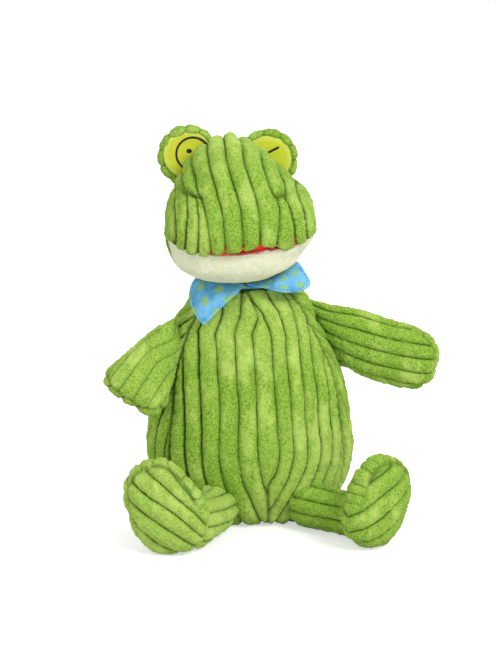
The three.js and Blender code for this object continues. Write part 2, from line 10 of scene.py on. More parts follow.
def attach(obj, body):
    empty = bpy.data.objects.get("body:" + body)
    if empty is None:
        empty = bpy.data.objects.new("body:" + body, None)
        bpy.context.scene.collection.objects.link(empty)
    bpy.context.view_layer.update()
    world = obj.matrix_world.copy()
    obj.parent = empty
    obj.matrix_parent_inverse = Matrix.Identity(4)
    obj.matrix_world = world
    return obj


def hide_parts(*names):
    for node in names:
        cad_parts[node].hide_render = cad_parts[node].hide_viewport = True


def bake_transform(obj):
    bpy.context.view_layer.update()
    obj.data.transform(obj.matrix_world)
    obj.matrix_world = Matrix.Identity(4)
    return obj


print("loading the frame")
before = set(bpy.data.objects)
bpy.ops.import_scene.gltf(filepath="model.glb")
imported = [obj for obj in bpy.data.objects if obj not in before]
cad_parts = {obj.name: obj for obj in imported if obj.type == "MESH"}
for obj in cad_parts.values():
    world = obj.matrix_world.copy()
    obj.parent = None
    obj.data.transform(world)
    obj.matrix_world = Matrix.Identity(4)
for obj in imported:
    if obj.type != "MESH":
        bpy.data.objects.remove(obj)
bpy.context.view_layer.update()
mm = 0.001

# Camera, lamps and floor
studio = {
    "aim": (-0.00115, 0, 0.1071),
    "distance": 1.6,
    "elevation": 15,
    "frameHeight": 0.3818,  # what the picture's long side covers at the aim
    "worldStrength": 0.62,
    "lampAim": (0, 0, 0.1),
    "lamps": {  # place, size across in metres and power in watts
        "keyLamp": ((0.9, -1.2, 1.3), 0.7, 21),
        "fillLamp": ((-1.3, -0.9, 0.7), 1, 5),
        "backLamp": ((0.3, 1.2, 1.4), 0.8, 6),
    },
    "floorSize": 6,
    "floorTones": (0.72, 0.7),
    "floorGlow": 0.53,  # added for the camera alone, so that the floor is white round the shadow
}


def tint(red, green, blue):  # screen colour, 0 to 255, as linear light
    def linear(value):
        share = value / 255
        return share / 12.92 if share <= 0.04045 else ((share + 0.055) / 1.055) ** 2.4

    return (linear(red), linear(green), linear(blue), 1)


# Shader sums: a Wire is one output socket, and a Finish is one material
class Wire:
    def __init__(self, finish, socket):
        self.finish = finish
        self.socket = socket

    def sum(self, operation, first, second):
        return self.finish.node("ShaderNodeMath", {"operation": operation}, {0: first, 1: second})

    def __add__(self, other):
        return self.sum("ADD", self, other)

    def __radd__(self, other):
        return self.sum("ADD", other, self)

    def __sub__(self, other):
        return self.sum("SUBTRACT", self, other)

    def __rsub__(self, other):
        return self.sum("SUBTRACT", other, self)

    def __mul__(self, other):
        return self.sum("MULTIPLY", self, other)

    def __rmul__(self, other):
        return self.sum("MULTIPLY", other, self)


class Finish:
    def __init__(self, name, world=False):
        self.data = bpy.data.worlds.new(name) if world else bpy.data.materials.new(name)
        self.data.use_nodes = True
        self.tree = self.data.node_tree
        self.tree.nodes.clear()

    def node(self, kind, settings=None, values=None, out=0):
        made = self.tree.nodes.new(kind)
        for key, value in (settings or {}).items():
            setattr(made, key, value)
        for key, value in (values or {}).items():
            if isinstance(value, Wire):
                self.tree.links.new(value.socket, made.inputs[key])
            else:
                made.inputs[key].default_value = value
        return Wire(self, made.outputs[out]) if made.outputs else None

    def place(self):  # a point of the piece at rest, in metres
        return self.node("ShaderNodeTexCoord", out="Object")

    def value(self, name):  # a number kept on the mesh's points
        return self.node("ShaderNodeAttribute", {"attribute_name": name}, out="Fac")

    # noise whose lumps are size mm across
    def cloud(self, size, detail=2, roughness=0.5, stretch=None, distortion=0):
        where = self.place()
        if stretch:
            where = self.node("ShaderNodeMapping", values={"Vector": where, "Scale": stretch})
        values = {
            "Vector": where,
            "Scale": 1 / (size * mm),
            "Detail": detail,
            "Roughness": roughness,
            "Distortion": distortion,
        }
        return self.node("ShaderNodeTexNoise", values=values)

    def ramp(self, value, low, high):  # 0 below low, 1 above high
        values = {"Value": value, "From Min": low, "From Max": high}
        return self.node("ShaderNodeMapRange", {"interpolation_type": "SMOOTHSTEP"}, values)

    def mix(self, share, first, second):
        values = {0: share, 6: first, 7: second}
        return self.node("ShaderNodeMix", {"data_type": "RGBA"}, values, out=2)

    def surface(self, values, height=None, bump=0.5, rise=0.5):
        if height is not None:
            bumps = {"Strength": bump, "Distance": rise * mm, "Height": height}
            values = {**values, "Normal": self.node("ShaderNodeBump", values=bumps)}
        shader = self.node("ShaderNodeBsdfPrincipled", values=values)
        self.node("ShaderNodeOutputMaterial", values={"Surface": shader})
        return self.data


# Finishes
greenPile = {
    "crease": tint(44, 76, 14),  # painted shade at the bottom of a valley and in seams
    "dark": tint(93, 133, 34),  # between the tufts, and painted shade down a rib's sides
    "mid": tint(147, 185, 66),
    "light": tint(184, 213, 104),  # where the pile is brushed flat, and painted light where it faces the lamps
    "patch": 13,
    "speck": 0.85,
    "creaseWidth": 0.12,  # of half a rib
    "creaseWider": 0.14,  # painted shade: creases are wider on the sides turned from the light
    "brushedShare": 0.75,
    "tipShare": 0.45,
    "tuftShade": 0.8,
    "valleyPaintedShade": 0.25,
}


def makePile(name, look):
    finish = Finish(name)
    wander = finish.cloud(2.4, detail=2)
    phase = finish.value("phase") + (wander - 0.5) * 0.1
    rise = finish.node("ShaderNodeMath", {"operation": "PINGPONG"}, {0: phase, 1: 0.5}) * 2
    ribs = finish.value("ribs")
    seam = finish.value("seam")
    pale = finish.value("pale")
    sideCreaseShade = finish.value("sideCreaseShade")
    patch = finish.cloud(look["patch"], detail=3, roughness=0.6, stretch=(1, 1, 0.55))
    brushedAndPaintedLight = finish.ramp(patch, 0.47, 0.66)
    tufts = finish.cloud(look["speck"], detail=3, roughness=0.62, distortion=0.5)
    dark = finish.ramp(tufts, 0.52, 0.41)
    tips = finish.ramp(tufts, 0.55, 0.68)
    # painted light on sides and tops facing the lamps, painted shade where it is negative, added to the
    # brushed patches
    both = {0: brushedAndPaintedLight * look["brushedShare"], 1: pale}
    brushedAndPaintedLight = finish.node("ShaderNodeMath", {"operation": "ADD", "use_clamp": True}, both)
    colour = finish.mix(brushedAndPaintedLight, look["mid"], look["light"])
    colour = finish.mix(tips * look["tipShare"], colour, look["light"])
    colour = finish.mix(dark * (look["tuftShade"] - 0.55 * brushedAndPaintedLight), colour, look["dark"])
    # painted shade: darker down each rib's sides towards its valley
    colour = finish.mix(finish.ramp(rise, 0.5, 0.05) * ribs * look["valleyPaintedShade"], colour, look["dark"])
    # painted shade in the valleys and seams, darker and wider on the sides turned from the light
    uneven = finish.ramp(finish.cloud(17, detail=2), 0.35, 0.6) * 0.5 + 0.5
    width = look["creaseWidth"] + sideCreaseShade * look["creaseWider"]
    crease = finish.ramp(rise, width, 0.02) * ribs * (uneven * (1 - sideCreaseShade) + sideCreaseShade)
    creaseSeamShade = finish.node("ShaderNodeMath", {"operation": "MAXIMUM"}, {0: crease, 1: seam})
    colour = finish.mix(creaseSeamShade * (0.8 + 0.2 * sideCreaseShade), colour, look["crease"])
    values = {
        "Base Color": colour,
        "Roughness": 0.92,
        "Specular IOR Level": 0.12,
        "Sheen Weight": 0.2,
        "Sheen Roughness": 0.45,
        "Sheen Tint": tint(206, 228, 140),
    }
    return finish.surface(values, tufts + (1 - crease) * 0.8, bump=0.6, rise=0.9)


creamPile = {
    "dark": tint(194, 196, 160),
    "mid": tint(221, 224, 191),
    "light": tint(235, 236, 207),
}


def makeCream(name, look):
    finish = Finish(name)
    patch = finish.ramp(finish.cloud(14, detail=3), 0.36, 0.66)
    tufts = finish.cloud(1.6, detail=3, roughness=0.6, distortion=0.4)
    colour = finish.mix(patch, look["mid"], look["light"])
    colour = finish.mix(finish.ramp(tufts, 0.5, 0.36) * 0.3, colour, look["dark"])
    values = {
        "Base Color": colour,
        "Roughness": 0.94,
        "Specular IOR Level": 0.1,
        "Sheen Weight": 0.3,
        "Sheen Roughness": 0.5,
        "Sheen Tint": tint(250, 248, 226),
    }
    return finish.surface(values, tufts, bump=0.35, rise=0.6)


yellowFelt = {
    "dark": tint(184, 190, 44),
    "mid": tint(204, 209, 58),
    "rim": tint(208, 216, 92),
}


def makeFelt(name, look):
    finish = Finish(name)
    rim = finish.value("rim")
    fibres = finish.cloud(0.8, detail=5, roughness=0.75, distortion=1.5)
    colour = finish.mix(rim, look["mid"], look["rim"])
    colour = finish.mix(finish.ramp(fibres, 0.55, 0.35) * 0.4, colour, look["dark"])
    values = {"Base Color": colour, "Roughness": 0.95, "Specular IOR Level": 0.1, "Sheen Weight": 0.15}
    return finish.surface(values, fibres, bump=0.3, rise=0.3)


def makeLining(name):
    finish = Finish(name)
    weave = finish.node(
        "ShaderNodeTexWave",
        {"wave_type": "BANDS", "bands_direction": "DIAGONAL"},
        {"Vector": finish.place(), "Scale": 700, "Distortion": 1.5},
    )
    patch = finish.cloud(6, detail=3)
    colour = finish.mix(finish.ramp(patch, 0.35, 0.7), tint(216, 34, 26), tint(238, 58, 40))
    values = {"Base Color": colour, "Roughness": 0.7, "Sheen Weight": 0.2, "Specular IOR Level": 0.3}
    return finish.surface(values, weave, bump=0.25, rise=0.15)


def makeThread(name, dark, light, size=0.35):
    finish = Finish(name)
    strands = finish.cloud(size, detail=3, stretch=(1, 0.25, 0.4))
    colour = finish.mix(finish.ramp(strands, 0.4, 0.65), dark, light)
    values = {"Base Color": colour, "Roughness": 0.55, "Specular IOR Level": 0.35, "Sheen Weight": 0.1}
    return finish.surface(values, strands, bump=0.4, rise=0.15)


dottedCotton = {
    "blue": tint(120, 196, 238),
    "shade": tint(72, 158, 214),
    "dot": tint(150, 196, 116),
    "spacing": 9.5,
    "radius": 0.27,  # of the spacing
    "slant": 40,  # degrees that the rows of dots are turned
}


def makeCotton(name, look):
    finish = Finish(name)
    flat = finish.node("ShaderNodeAttribute", {"attribute_name": "flat"}, out="Vector")
    slant = math.radians(look["slant"])
    spacing = look["spacing"] * mm
    turned = {"Vector": flat, "Rotation": (0, 0, slant), "Scale": (1 / spacing, 1 / spacing, 1 / spacing)}
    lattice = finish.node("ShaderNodeMapping", values=turned)
    cells = {"Vector": lattice, "Scale": 1, "Randomness": 0.22}
    away = finish.node("ShaderNodeTexVoronoi", {"voronoi_dimensions": "2D"}, cells, out="Distance")
    wobble = finish.cloud(3, detail=2)
    dot = finish.ramp(away + (wobble - 0.5) * 0.1, look["radius"] + 0.05, look["radius"] - 0.05)
    base = finish.mix(finish.ramp(finish.cloud(9, detail=3), 0.35, 0.65), look["blue"], look["shade"])
    colour = finish.mix(dot * 0.9, base, look["dot"])
    threads = {"Vector": flat, "Scale": 1500, "Distortion": 0.4}
    across = finish.node("ShaderNodeTexWave", {"bands_direction": "X"}, threads)
    down = finish.node("ShaderNodeTexWave", {"bands_direction": "Y"}, threads)
    weave = across * down
    colour = finish.mix(weave * 0.12, colour, tint(225, 240, 250))
    values = {"Base Color": colour, "Roughness": 0.85, "Specular IOR Level": 0.2, "Sheen Weight": 0.06}
    return finish.surface(values, weave + finish.cloud(2.5, detail=3) * 0.6, bump=0.35, rise=0.2)


def makeFibre(name, colour):
    finish = Finish(name)
    strands = finish.cloud(1.2, detail=5, roughness=0.8, distortion=2.5)
    shade = finish.mix(finish.ramp(strands, 0.35, 0.65), colour, tint(250, 249, 244))
    values = {"Base Color": shade, "Roughness": 1, "Specular IOR Level": 0.1}
    return finish.surface(values, strands, bump=0.6, rise=0.8)


print("making the finishes")
pileGreen = makePile("plushGreen", greenPile)
pileCream = makeCream("plushCream", creamPile)
feltYellow = makeFelt("feltYellowGreen", yellowFelt)
liningRed = makeLining("liningRed")
threadBlack = makeThread("threadBlack", tint(5, 5, 5), tint(20, 19, 18))
threadBlue = makeThread("threadBlue", tint(50, 108, 156), tint(78, 140, 186))
cottonBlue = makeCotton("cottonDotted", dottedCotton)
fibreWhite = makeFibre("fillingFibre", tint(226, 223, 212))
bagLinen = makeFibre("pelletBagLinen", tint(196, 186, 160))


# Point helpers. Points are rows of x, y, z in millimetres until they go into a mesh.
def smoothstep(value, low, high):
    share = np.clip((value - low) / (high - low), 0, 1)
    return share * share * (3 - 2 * share)


def bell(distance, width):
    return np.exp(-((distance / width) ** 2))


def softAbove(value, floor, soft):  # the larger of two, with a rounded corner
    gap = np.clip(soft - np.abs(value - floor), 0, None) / soft
    return np.maximum(value, floor) + gap**2 * soft / 4


def softBelow(value, ceiling, soft):
    return -softAbove(-value, -ceiling, soft)


def clouds(points, size, seed):  # smooth random values from -1 to 1 whose lumps are size across
    place = points / size + seed * 7.31
    cell = np.floor(place).astype(np.int64)
    part = place - cell
    part = part * part * (3 - 2 * part)
    total = np.zeros(len(points))
    for corner in range(8):
        step = np.array([corner & 1, corner >> 1 & 1, corner >> 2 & 1])
        key = (cell + step) @ np.array([73856093, 19349663, 83492791]) + seed * 2654435
        key = (key ^ (key >> 13)) * 1274126177 & 0x7FFFFFFF
        key = (key ^ (key >> 15)) * 668265263 & 0x7FFFFFFF
        weight = np.prod(np.where(step == 1, part, 1 - part), axis=1)
        total += weight * (((key >> 7) & 0xFFFF) / 32767.5 - 1)
    return total


def through(rows, share, closed=False):  # a smooth curve through rows of numbers, share from 0 to 1
    rows = np.array(rows, float)
    count = len(rows)
    place = np.asarray(share) * (count if closed else count - 1)
    first = np.floor(place).astype(int)
    if not closed:
        first = np.clip(first, 0, count - 2)
    part = (place - first)[..., None]

    def row(step):
        index = first + step
        return rows[index % count] if closed else rows[np.clip(index, 0, count - 1)]

    before, start, end, after = row(-1), row(0), row(1), row(2)
    slopeIn, slopeOut = (end - before) / 2, (after - start) / 2
    square, cube = part**2, part**3
    return (
        (2 * cube - 3 * square + 1) * start
        + (cube - 2 * square + part) * slopeIn
        + (3 * square - 2 * cube) * end
        + (cube - square) * slopeOut
    )


def evenShares(points):  # share of the way along a line of points, by length
    steps = np.linalg.norm(np.diff(points, axis=0), axis=1)
    total = np.concatenate([[0], np.cumsum(steps)])
    return total / total[-1]


def turnAbout(points, centre, axis, degrees):
    matrix = np.array(Matrix.Rotation(math.radians(degrees), 3, Vector(axis)))
    return (points - centre) @ matrix.T + centre


# Mesh helpers
def addPiece(name, bm, finish):
    mesh = bpy.data.meshes.new(name)
    bm.to_mesh(mesh)
    bm.free()
    mesh.materials.append(finish)
    piece = bpy.data.objects.new(name, mesh)
    bpy.context.scene.collection.objects.link(piece)
    return piece


def spinRound(bm, axis, steps):  # a full turn of an outline
    bmesh.ops.spin(
        bm,
        geom=list(bm.verts) + list(bm.edges),
        cent=(0, 0, 0),
        axis=axis,
        dvec=(0, 0, 0),
        angle=2 * math.pi,
        steps=steps,
        use_merge=True,
    )


def turnShape(bm, degrees, axis):
    matrix = Matrix.Rotation(math.radians(degrees), 3, axis)
    bmesh.ops.rotate(bm, verts=bm.verts, cent=(0, 0, 0), matrix=matrix)


# What the piece stands for, and the body it rides on
def settle(piece, nodes, body=None):
    if body:
        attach(piece, body)
    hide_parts(*nodes)


# A ball of points: turn goes round its poles and fall runs from pole to pole
def ball(name, around, along, finish):
    bm = bmesh.new()
    bmesh.ops.create_grid(bm, x_segments=around, y_segments=along, size=1)
    for vert in bm.verts:
        turn, fall = math.pi * vert.co.x, math.pi / 2 * (1 + vert.co.y)
        vert.co = (math.sin(fall) * math.cos(turn), math.sin(fall) * math.sin(turn), math.cos(fall))
    bmesh.ops.remove_doubles(bm, verts=bm.verts, dist=1e-6)
    piece = addPiece(name, bm, finish)
    points = pointsOf(piece) * mm
    turn = np.arctan2(points[:, 1], points[:, 0])
    fall = np.arctan2(np.hypot(points[:, 0], points[:, 1]), points[:, 2]) / math.pi
    return piece, turn, fall


def pointsOf(piece):
    points = np.zeros(len(piece.data.vertices) * 3)
    piece.data.vertices.foreach_get("co", points)
    return points.reshape(-1, 3) / mm


def setPoints(piece, points):
    piece.data.vertices.foreach_set("co", (np.asarray(points) * mm).ravel())
    piece.data.update()


def faceOut(piece):
    bm = bmesh.new()
    bm.from_mesh(piece.data)
    bmesh.ops.recalc_face_normals(bm, faces=bm.faces)
    bm.to_mesh(piece.data)
    bm.free()
    piece.data.polygons.foreach_set("use_smooth", [True] * len(piece.data.polygons))
    piece.data.update()


def normalsOf(piece):
    normals = np.zeros(len(piece.data.vertices) * 3)
    piece.data.vertices.foreach_get("normal", normals)
    return normals.reshape(-1, 3)


def raisePoints(piece, height):
    setPoints(piece, pointsOf(piece) + normalsOf(piece) * np.asarray(height)[:, None])


def keep(piece, name, values):
    kind = "FLOAT_VECTOR" if np.ndim(values) == 2 else "FLOAT"
    attribute = piece.data.attributes.new(name, kind, "POINT")
    slot = "vector" if kind == "FLOAT_VECTOR" else "value"
    attribute.data.foreach_set(slot, np.asarray(values, np.float32).ravel())


# Ribs: across a rib phase goes from one whole number to the next, and a valley lies at each
pileLook = {
    "ribDepth": 3.2,
    "ribRound": 2.4,
    "lumpSize": 12,
    "lump": 0.6,
    "tuftSize": 2.3,
    "tuft": 0.42,
    "fineSize": 1.2,
    "fine": 0.26,
}


def ribHeight(phase):
    across = 2 * (phase - np.floor(phase)) - 1
    return np.clip(1 - np.abs(across) ** pileLook["ribRound"], 0, 1) ** 0.55


# ribs is how much of their depth the ribs have, seam is 1 in a stitched seam, and extra is added height. Ribs
# and seam also set the painted shade in valleys and seams
def plush(piece, phase, ribs=1.0, seam=0.0, depth=None, seed=1, extra=0.0, tuftShare=1.0):
    depth = pileLook["ribDepth"] if depth is None else depth
    points = pointsOf(piece)
    every = np.ones(len(points))
    height = -depth * ribs * (1 - ribHeight(phase)) + extra
    height = height + pileLook["lump"] * clouds(points, pileLook["lumpSize"], seed)
    height += pileLook["tuft"] * tuftShare * clouds(points, pileLook["tuftSize"], seed + 1)
    height += pileLook["fine"] * tuftShare * clouds(points, pileLook["fineSize"], seed + 2)
    raisePoints(piece, height)
    keep(piece, "phase", phase * every)
    keep(piece, "ribs", ribs * every)
    keep(piece, "seam", np.clip(seam * every, 0, 1))


# Torso
torsoLook = {
    "height": 137,
    "width": 120,
    "depth": 92,
    "lean": -4,
    "around": 440,
    "along": 210,
    "capShare": 0.3,  # how densely the flat ends are meshed
    "shares": [
        (0, 0.65, 0.66),
        (0.03, 0.78, 0.78),
        (0.09, 0.88, 0.88),
        (0.18, 0.96, 0.97),
        (0.29, 1, 1),
        (0.4, 0.98, 0.97),
        (0.51, 0.945, 0.91),
        (0.62, 0.9, 0.845),
        (0.715, 0.83, 0.78),
        (0.82, 0.71, 0.69),
        (0.91, 0.56, 0.6),
        (0.97, 0.46, 0.53),
        (1, 0.41, 0.5),
    ],
    "seamHeights": (0, 10, 75, 112, 125, 137),
    "seamPlaces": (10.4, 10.4, 9.4, 7.1, 4.6, -1.7),  # of the front seam, across
    "sideSeams": (-52, 66),  # degrees round from the front
    "middleRib": 5.5,  # half the rib on the front seam
    "pitches": (11.1, 8.8, 10.6),  # to the frog's right, to its left and on its back
    # below the first height the ribs slant into the front seam, by this much on the frog's right and left
    "lowGather": (38, 0.36, 0.52),
    "highGather": (114, 0.6),
    "shoulder": (28, -2, 127),  # where the torso is fuller under the frog's left arm seam
    "seamWidth": 1.2,
    "seamDepth": 2,
    "frontSeamWidth": 1.1,
    "frontSeamDepth": 1.5,
    "puckerPitch": 6.2,
    "puckerDepth": 0.6,
}


def arcLength(angle, halfWidth, halfDepth):  # round an ellipse, from its front
    places, weights = np.polynomial.legendre.leggauss(14)
    total = 0
    for place, weight in zip(places, weights):
        part = angle * (place + 1) / 2
        total = total + weight * np.hypot(halfWidth * np.cos(part), halfDepth * np.sin(part))
    return total * angle / 2


def torsoPoints(turn, fall, look, inset=0):
    rows = through(look["shares"], np.linspace(0, 1, 600))[::-1]
    capSteps = 60
    sides = np.column_stack([rows[:, 0] * look["height"], rows[:, 1] * look["width"] / 2])
    ends = np.linspace(0, 1, capSteps, endpoint=False)
    heights = np.concatenate([np.full(capSteps, rows[0, 0]), rows[:, 0], np.full(capSteps, rows[-1, 0])])
    radial = np.concatenate([ends, np.ones(len(rows)), ends[::-1]])
    lengths = np.linalg.norm(np.diff(sides, axis=0), axis=1)
    capTop = sides[0, 1] * look["capShare"] / capSteps
    capLow = sides[-1, 1] * look["capShare"] / capSteps
    steps = np.concatenate([[0], np.full(capSteps, capTop), lengths, np.full(capSteps, capLow)])
    along = np.cumsum(steps) / np.sum(steps)
    share = np.interp(fall, along, heights)
    radius = np.interp(fall, along, radial)
    order = rows[::-1]
    halfWidth = np.interp(share, order[:, 0], order[:, 1]) * look["width"] / 2 - inset
    halfDepth = np.interp(share, order[:, 0], order[:, 2]) * look["depth"] / 2 - inset
    centre = look["lean"] * np.clip((share - 0.5) / 0.5, 0, 1)
    x = centre + radius * halfWidth * np.sin(turn)
    y = -radius * halfDepth * np.cos(turn)
    z = inset + share * (look["height"] - 2 * inset)
    return np.column_stack([x, y, z]), radius, halfWidth, halfDepth, centre


def torsoPhase(points, turn, halfWidth, halfDepth, centre, look):
    height = points[:, 2]
    seamPlace = np.interp(height, look["seamHeights"], look["seamPlaces"])
    seamTurn = np.arcsin(np.clip((seamPlace - centre) / halfWidth, -0.9, 0.9))
    arc = arcLength(turn, halfWidth, halfDepth)
    off = arc - arcLength(seamTurn, halfWidth, halfDepth)
    wander = clouds(points, 30, 5) * 0.9 + clouds(points, 9, 15) * 0.4
    away = np.abs(off) + wander * smoothstep(np.abs(off), 1, 9)
    low, rightSlope, leftSlope = look["lowGather"]
    high, highSlope = look["highGather"]
    onRight = off < 0
    gather = softAbove(low - height, 0, 16) - 1.5 * smoothstep(height, 60, 20)
    away += np.where(onRight, rightSlope, leftSlope) * gather
    away -= 2.6 * bell(height - low - 4, 20) * ~onRight * smoothstep(np.abs(off), 0, 6)
    upper = np.maximum(height - high, 0)
    away += highSlope * upper * np.where(onRight, 1, 0.5 * np.exp(-np.abs(off) / 10))
    middle = look["middleRib"]
    pitch = np.where(onRight, look["pitches"][0], look["pitches"][1])
    front = np.where(away < middle, 0.5 + away / middle / 2, 1 + (away - middle) / pitch)
    wholeArc = arcLength(np.full(len(turn), math.pi), halfWidth, halfDepth)
    back = (wholeArc - np.abs(arc)) / look["pitches"][2] + 0.5 + clouds(points, 30, 6) * 0.08
    seamTurns = [np.full(len(turn), math.radians(side)) for side in look["sideSeams"]]
    sides = [arc - arcLength(turned, halfWidth, halfDepth) for turned in seamTurns]
    onFront = (sides[0] > 0) & (sides[1] < 0)
    sideAway = np.minimum(np.abs(sides[0]), np.abs(sides[1]))
    return np.where(onFront, front, back), np.abs(off), sideAway, onFront


def makeTorso(look):
    piece, turn, fall = ball("torsoPlush", look["around"], look["along"], pileGreen)
    points, radius, halfWidth, halfDepth, centre = torsoPoints(turn, fall, look)
    setPoints(piece, points)
    faceOut(piece)
    phase, frontAway, sideAway, onFront = torsoPhase(points, turn, halfWidth, halfDepth, centre, look)
    height = points[:, 2]
    onSide = smoothstep(radius, 0.9, 1)
    ends = np.maximum(smoothstep(height, 34, 22), smoothstep(height, 122, 129)) * onFront * onSide
    frontSeam = bell(frontAway, look["frontSeamWidth"]) * ends
    stitches = np.sin(2 * math.pi * (height + 3 * clouds(points, 14, 8)) / look["puckerPitch"])
    sideSeam = bell(sideAway, look["seamWidth"]) * onSide
    puckers = bell(sideAway - 2.2, 1.8) * smoothstep(stitches, -0.35, -0.95) * onSide
    extra = -look["frontSeamDepth"] * frontSeam - look["seamDepth"] * sideSeam - look["puckerDepth"] * puckers
    ribs = smoothstep(radius, 0.25, 1) * (1 - 0.6 * bell(sideAway, 2.6))
    seam = np.maximum(frontSeam * 0.8, np.maximum(sideSeam * 0.8, puckers * 0.15))
    plush(piece, phase, ribs=ribs, seam=seam, seed=11, extra=extra)
    points = pointsOf(piece)
    front = smoothstep(points[:, 1], 0, -15)
    # painted light low on the front of the frog's left side and on the top, painted shade on its right side
    paintedLightLowLeft = smoothstep(points[:, 0] - 0.3 * points[:, 2], -20, 30) * smoothstep(points[:, 2], 90, 30)
    paintedLightTop = 0.5 * smoothstep(height, 88, 112)
    keep(piece, "pale", (0.75 * paintedLightLowLeft + paintedLightTop - 0.2 * smoothstep(points[:, 0], -25, -45)) * front)
    # painted shade: darker, wider creases on the front's sides turned from the light, most on the frog's
    # right
    away = smoothstep(points[:, 0], -16, -34) + 0.4 * smoothstep(points[:, 0], 30, 44)
    keep(piece, "sideCreaseShade", away * front * smoothstep(height, 132, 116))
    spread = np.hypot(points[:, 0] - look["lean"], points[:, 1])
    collar = bell(points[:, 0] + 2.5, 5.5) * smoothstep(points[:, 1], -15, -22) * smoothstep(spread, 22.9, 26)
    points[:, 2] += 3.1 * collar * smoothstep(height, 122, 134)
    points[:, 1] -= 2.2 * bell(points[:, 0] + 1.5, 5.5) * bell(height - 127, 7) * front
    points += bell(np.linalg.norm(points - look["shoulder"], axis=1), 11)[:, None] * [5.5, 0, 1.5]
    points[:, 2] = np.maximum(points[:, 2], 0.05 * clouds(points, 9, 3) + 0.05)
    setPoints(piece, points)
    return piece


print("torso")
torso = makeTorso(torsoLook)
settle(torso, ["torso_cover"], "torso")


# Fillings: smooth lumps of fibre inside the covers
def makeLump(name, points, nodes, body, finish=fibreWhite, seed=40, size=(48, 32)):
    piece, turn, fall = ball(name, *size, finish)
    setPoints(piece, points(turn, fall))
    faceOut(piece)
    raisePoints(piece, 0.25 * clouds(pointsOf(piece), 7, seed) - 0.25)
    settle(piece, nodes, body)
    return piece


def between(points, low, high):
    points[:, 2] = np.clip(points[:, 2], low, high)
    return points


makeLump(
    "torsoStuffing",
    lambda turn, fall: between(torsoPoints(turn, fall, torsoLook, 5)[0], 25.2, 136),
    ["torso_filling"],
    "torso",
)
makeLump(
    "seatPelletBag",
    lambda turn, fall: between(torsoPoints(turn, fall, torsoLook, 5)[0], 3.2, 24.2),
    ["seat_pellet_bag"],
    "torso",
    bagLinen,
)

# Head
headLook = {
    "centre": np.array([-4, 0, 150.0]),
    "turn": 4,
    "width": 88,
    "length": 80,
    "height": 79,
    "drop": 5.5,
    "shift": -2.2,
    "lean": (-6, 35, 66),  # how far the crown leans, and the heights that it grows between
    "middle": (-0.15, 0.38),
    "mouth": 16,
    "cream": 17,
    "darts": ((-27, 46), (23, 46)),  # across and up
    "dartWidth": 5.4,
    "dartFolds": ((1.6, 4, 3.2), (-1.2, -2.5, 2.5), (-1.8, 0, 1.2)),  # height, place above the dart and width
    "around": 400,
    "along": 230,
    "outline": [
        (0.32, 0.44),
        (0.3, 0.64),
        (0.21, 0.84),
        (0.05, 0.97),
        (-0.12, 1),
        (-0.32, 0.935),
        (-0.5, 0.8),
        (-0.62, 0.6),
        (-0.675, 0.4),
        (-0.65, 0.25),
        (-0.575, 0.1),
        (-0.45, 0.01),
        (-0.2, 0),
        (0.08, 0),
        (0.25, 0.08),
        (0.325, 0.24),
    ],
    # where the valleys lie across the head: lip, cheeks, below and above the darts, crown, back
    "valleyHeights": (16, 30, 45, 48, 75, 100),
    "valleys": [
        (-44, -44, -44, -44, -44, -44),
        (-38.8, -38.5, -37, -36.5, -34, -37),
        (-33.3, -32.6, -30.6, -30.4, -30, -30),
        (-26.1, -25.9, -26, -29.8, -29.5, -29.6),
        (-19.1, -21, -23.7, -23.7, -22.5, -21),
        (-11.4, -12.2, -13.4, -13.5, -13.5, -12.5),
        (-1.5, -1.9, -2.2, -2.3, -3.8, -3.8),
        (7.9, 8.1, 8.3, 8.3, 6.6, 5.3),
        (17, 19.2, 21.8, 18.4, 17, 14.2),
        (29.6, 28.2, 26, 27, 26.2, 23.5),
        (36.8, 35.8, 33, 33, 34, 33),
        (44, 44, 44, 44, 44, 44),
    ],
    # the mouth line and the jaw's bottom rise towards the cheeks, more on the frog's left
    "risePlaces": (-44, -36, -26, -4, 4, 12, 24, 34, 44),
    "mouthRises": (4, 1.2, 0, 0, 0.8, 2.2, 2.4, 4, 7),
    "jawRises": (1, 0, 0, 0, 0.4, 1.4, 4, 5.2, 6),
    "leftCheek": 0.055,
    "lipPlaces": (-44, -37, -33, -20, -6, 3, 12, 24, 34, 44),
    "lipHeights": (15.3, 13.2, 12.2, 12, 14.4, 15.6, 16.2, 12.2, 13.6, 14.5),
    "lipNotch": 2,  # between two rib ends the lip is this much higher
}


def headPoints(turn, fall, look, inset=0):  # in the head's own frame, with its poles at the cheeks
    fine = through(look["outline"], np.linspace(0, 1, 721), closed=True)
    fine = fine * [look["length"], look["height"]] - [0, look["drop"]]
    share = np.mod(turn / (2 * math.pi), 1)
    even = evenShares(fine)
    y = np.interp(share, even, fine[:, 0])
    z = np.interp(share, even, fine[:, 1])
    half = look["width"] / 2 - inset
    x = -half * np.cos(math.pi * fall)
    part = np.clip(np.abs(x) / half, 0, 1)
    middleY = look["middle"][0] * look["length"]
    middleZ = look["middle"][1] * look["height"] - look["drop"]
    outY, outZ = y - middleY, z - middleZ
    shrink = 1 - inset / np.maximum(np.hypot(outY, outZ), 1)
    crown = (1 - part**1.6) ** 0.7
    jaw = (1 - part**3) ** (1 / 3)
    plan = (1 - part**2.3) ** (1 / 2.3)
    rise = outZ * np.where(outZ > 0, crown, jaw)
    z = middleZ + rise * shrink
    z += np.interp(x, look["risePlaces"], look["jawRises"]) * smoothstep(z, 18, 2)
    x = x - look["leftCheek"] * np.maximum(x, 0) * smoothstep(z, 26, 4)
    return np.column_stack([x, middleY + outY * plan * shrink, z])


def mouthRise(x, look=headLook):
    return np.interp(x, look["risePlaces"], look["mouthRises"])


def headPlace(points, look=headLook):  # from the head's own frame to the frog's
    return turnAbout(points, np.zeros(3), (0, 0, 1), look["turn"]) + look["centre"]


